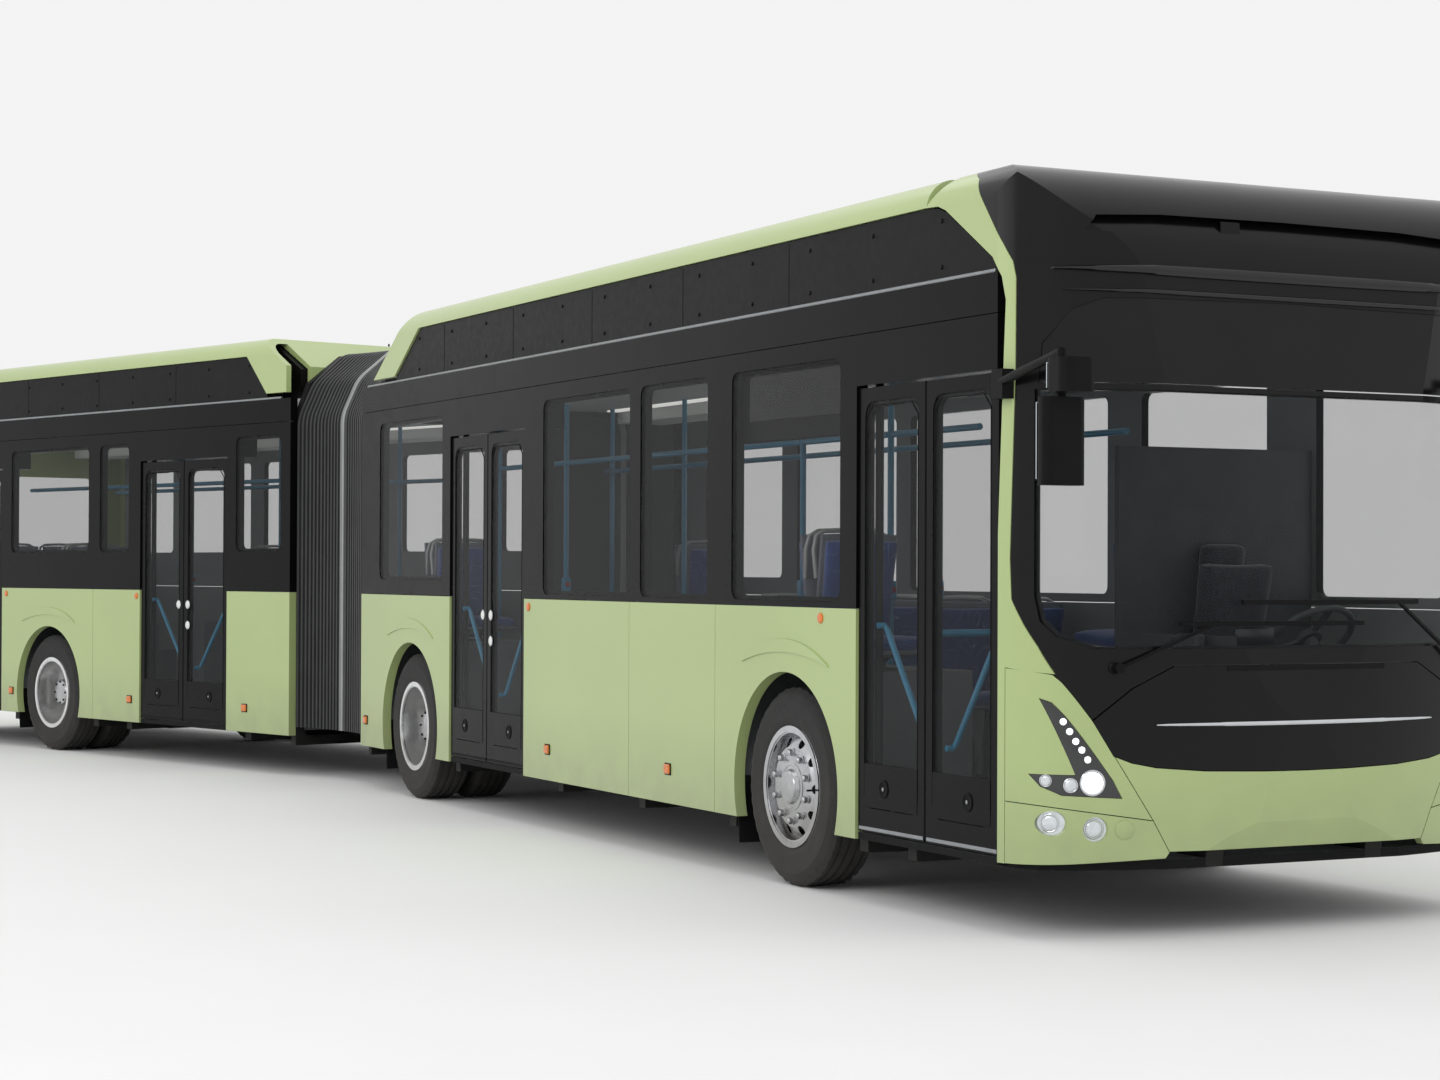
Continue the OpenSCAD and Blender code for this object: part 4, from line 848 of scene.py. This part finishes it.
pads, base = Mesh(), Mesh()
pads.pillow((TIP - 692, 620, CAB_Z + 350), (430, 440, 90), math.radians(-4), 18, 40, 8, (0.03, 0.05))
pads.pillow((TIP - 956, 620, CAB_Z + 700), (640, 430, 90), math.radians(-79), 22, 40, 8, (0.03, 0.08))
pads.pillow((TIP - 1018, 620, CAB_Z + 1042), (130, 250, 70), math.radians(-79), 10, 30, 6)
o = pads.make("driver_seat_pads", "front_section", [dark_cloth], slot="dark_cloth", sharp=60)
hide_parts("driver_seat")
base.box((TIP - 900, 470, CAB_Z), (TIP - 600, 770, CAB_Z + 60), 10)
for i in range(3):
    base.lathe([(150, 0), (168, 22), (150, 44)], (TIP - 750, 620, CAB_Z + 60 + i * 44), (0, 0, 1), 28)
base.box((TIP - 900, 440, CAB_Z + 190), (TIP - 560, 800, CAB_Z + 305), 16)
base.tube([(TIP - 600, 400, CAB_Z + 420), (TIP - 760, 398, CAB_Z + 540),
           (TIP - 900, 398, CAB_Z + 560)], 18, 10)
base.make("driver_seat_base", "front_section", [trim], slot="cab_plastic")


# Cab and saloon fittings

cab = Mesh()
cab.box((TIP - 330, 430, 1085), (TIP - 170, 830, 1190), 20, 0)
cab.box((TIP - 338, 450, 1100), (TIP - 328, 810, 1178), 4, 1)
cab.box((TIP - 280, 150, 1120), (TIP - 255, 370, 1290), 8, 1)
cab.tube([(TIP - 265, 260, 1080), (TIP - 265, 260, 1130)], 16, 10, k=0)
for i in range(8):
    cab.box((TIP - 320, 880 + 30 * i, 1078), (TIP - 300, 902 + 30 * i, 1096), 3, 2)
cab.box((TIP - 520, -20, 980), (TIP - 330, 40, 1260), 14, 0)
cab.box((TIP - 524, -12, 1120), (TIP - 519, 32, 1240), 3, 1)
cab.make("cab_controls", "front_section", [dash, display, button], slot="cab_plastic")

for rear, body, tag, x0, x1, poles in (
        (False, "front_section", "front", END1 + 300, 1500,
         ((-1460, -430), (-1460, 430), (-460, -430), (-4920, -430))),
        (True, "rear_section", "rear", XT + 400, END2 - 300, ((-9330, -430), (-9330, 430), (-11147, -430)))):
    m = Mesh()
    for s in (-1, 1):
        y0, y1 = sorted((s * 470, s * 560))
        m.box((x0, y0, 2688), (x1, y1, 2699), 4, 0)
    for x, y in poles:
        m.box((x - 28, y - 26, 1390), (x + 28, y + 26, 1490), 8, 1)
        m.lathe([(17, 0), (17, 5), (0.0, 7)], (x + 28, y, 1445), (1, 0, 0), 16, 2)
    m.make(tag + "_saloon_fittings", body, [light_strip, teal, red_lens], rear=rear, slot="ceiling_white")

m = Mesh()
for s in (-1, 1):
    mx, my = TIP + 600, s * (HALF + 65)
    y0, y1 = sorted((my - s * 92, my + s * 92))
    m.box((mx - 49, y0, 1915), (mx - 44, y1, 2225), 3)
    y0, y1 = sorted((my - s * 78, my + s * 62))
    m.box((mx - 19, y0, 2280), (mx - 14, y1, 2384), 3)
m.make("mirror_faces", "front_section", [mirror], slot="black_plastic")


# Roof fittings and tail

ROOF_Z, ROOF_FANS, TAIL_LAMP_Y = 3282, 4, 1020

for rear, body, tag, x0, x1 in ((False, "front_section", "front", END1 + 800, 700),
                                (True, "rear_section", "rear", XT + 500, END2 - 900)):
    m = Mesh()
    for i in range(ROOF_FANS):
        x = x0 + (x1 - x0) * (i + 0.5) / ROOF_FANS
        for y in (-420, 420):
            m.lathe([(240, -6), (240, 2), (222, 5), (214, 1), (0.0, 1)], (x, y, ROOF_Z), (0, 0, 1), 40, 0)
        for j in range(1, 5):
            ring = [(j * 45, 0), (j * 45, 3.5), (j * 45 + 10, 3.5), (j * 45 + 10, 0)]
            for y in (-420, 420):
                m.lathe(ring, (x, y, ROOF_Z + 1), (0, 0, 1), 36, 1, loop=True)
        m.box((x - 330, -120, ROOF_Z - 6), (x + 330, 120, ROOF_Z + 5), 4, 0)
    m.make(tag + "_roof_fittings", body, [satin, trim], rear=rear, slot="black_panel")

m = Mesh()
m.box((XT - 6, -260, 560), (XT + 6, 260, 672), 4, 0)
for s in (-1, 1):
    m.box((XT - 5, s * TAIL_LAMP_Y - 60, 430), (XT + 6, s * TAIL_LAMP_Y + 60, 490), 5, 1)
    for z, r, k in ((800, 42, 2), (930, 42, 3), (2560, 36, 1)):
        m.lathe([(r, -2), (r, 5), (r - 8, 9), (0.0, 10)], (XT + 2, s * TAIL_LAMP_Y, z), (-1, 0, 0), 24, k)
m.box((XT - 5, -300, 2530), (XT + 5, 300, 2560), 4, 1)
for i in range(9):
    m.box((XT - 4, -700, 1180 + i * 30), (XT + 4, 700, 1196 + i * 30), 3, 4)
m.make("tail_fittings", "rear_section", [plate, red_lens, amber, lens_clear, satin], rear=True,
       slot="lamp_red")


# Stage, light, camera

FLOOR_R, FLOOR_Z = 90, -0.002
WORLD_LIGHT = 0.9
# The photograph's fitted camera: heading, pitch and roll, focal length and principal point in pixels
HEADING, PITCH, ROLL = 2.6593, 0.0110, -0.0035
IMAGE_W, FOCAL, CENTRE_X, SENSOR = 1440, 2705.64, 830.66, 36
EYE = (11.827, -7.2136, 1.5465)

fl = bpy.data.meshes.new("floor")
fl.from_pydata([(x * FLOOR_R, y * FLOOR_R, FLOOR_Z) for x, y in ((-1, -1), (1, -1), (1, 1), (-1, 1))], [],
               [(0, 1, 2, 3)])
floor = bpy.data.objects.new("floor", fl)
bpy.context.scene.collection.objects.link(floor)
fl.materials.append(Mat("floor_pale", srgb(236, 236, 236), 0.8, vary=0.01, scale=0.5, bump=0.05).m)

scene = bpy.context.scene
scene.view_settings.view_transform = "Standard"
world = bpy.data.worlds.new("studio")
scene.world = world
world.use_nodes = True
world.node_tree.nodes["Background"].inputs[0].default_value = (1, 1, 1, 1)
world.node_tree.nodes["Background"].inputs[1].default_value = WORLD_LIGHT


def area(name, at, look, size, power):
    li = bpy.data.lights.new(name, "AREA")
    li.shape = "RECTANGLE"
    li.size, li.size_y = size
    li.energy = power
    ob = bpy.data.objects.new(name, li)
    scene.collection.objects.link(ob)
    ob.location = at
    ob.rotation_euler = (Vector(look) - Vector(at)).to_track_quat("-Z", "Y").to_euler()


area("key", (16, -16, 13), (2, 0, 1), (12, 8), 900)
area("top", (-2, 0, 16), (-2, 0.01, 0), (24, 10), 500)
area("fill", (-6, -20, 7), (-3, 0, 1), (16, 6), 250)

d = Vector((math.cos(PITCH) * math.cos(HEADING), math.cos(PITCH) * math.sin(HEADING), math.sin(PITCH)))
r = d.cross(Vector((0, 0, 1))).normalized()
dn = d.cross(r)
c, s = math.cos(ROLL), math.sin(ROLL)
r, dn = c * r + s * dn, -s * r + c * dn
cam = bpy.data.cameras.new("camera")
cam.sensor_fit = "HORIZONTAL"
cam.sensor_width = SENSOR
cam.lens = FOCAL / IMAGE_W * SENSOR
cam.shift_x = -(CENTRE_X - IMAGE_W / 2) / IMAGE_W
cam.clip_end = 400
camera = bpy.data.objects.new("camera", cam)
scene.collection.objects.link(camera)
at = Vector((EYE[0] + AXLE_X, EYE[1] + AXLE_Y, EYE[2]))
camera.matrix_world = Matrix(((r.x, -dn.x, -d.x, at.x), (r.y, -dn.y, -d.y, at.y), (r.z, -dn.z, -d.z, at.z),
                              (0, 0, 0, 1)))
scene.camera = camera
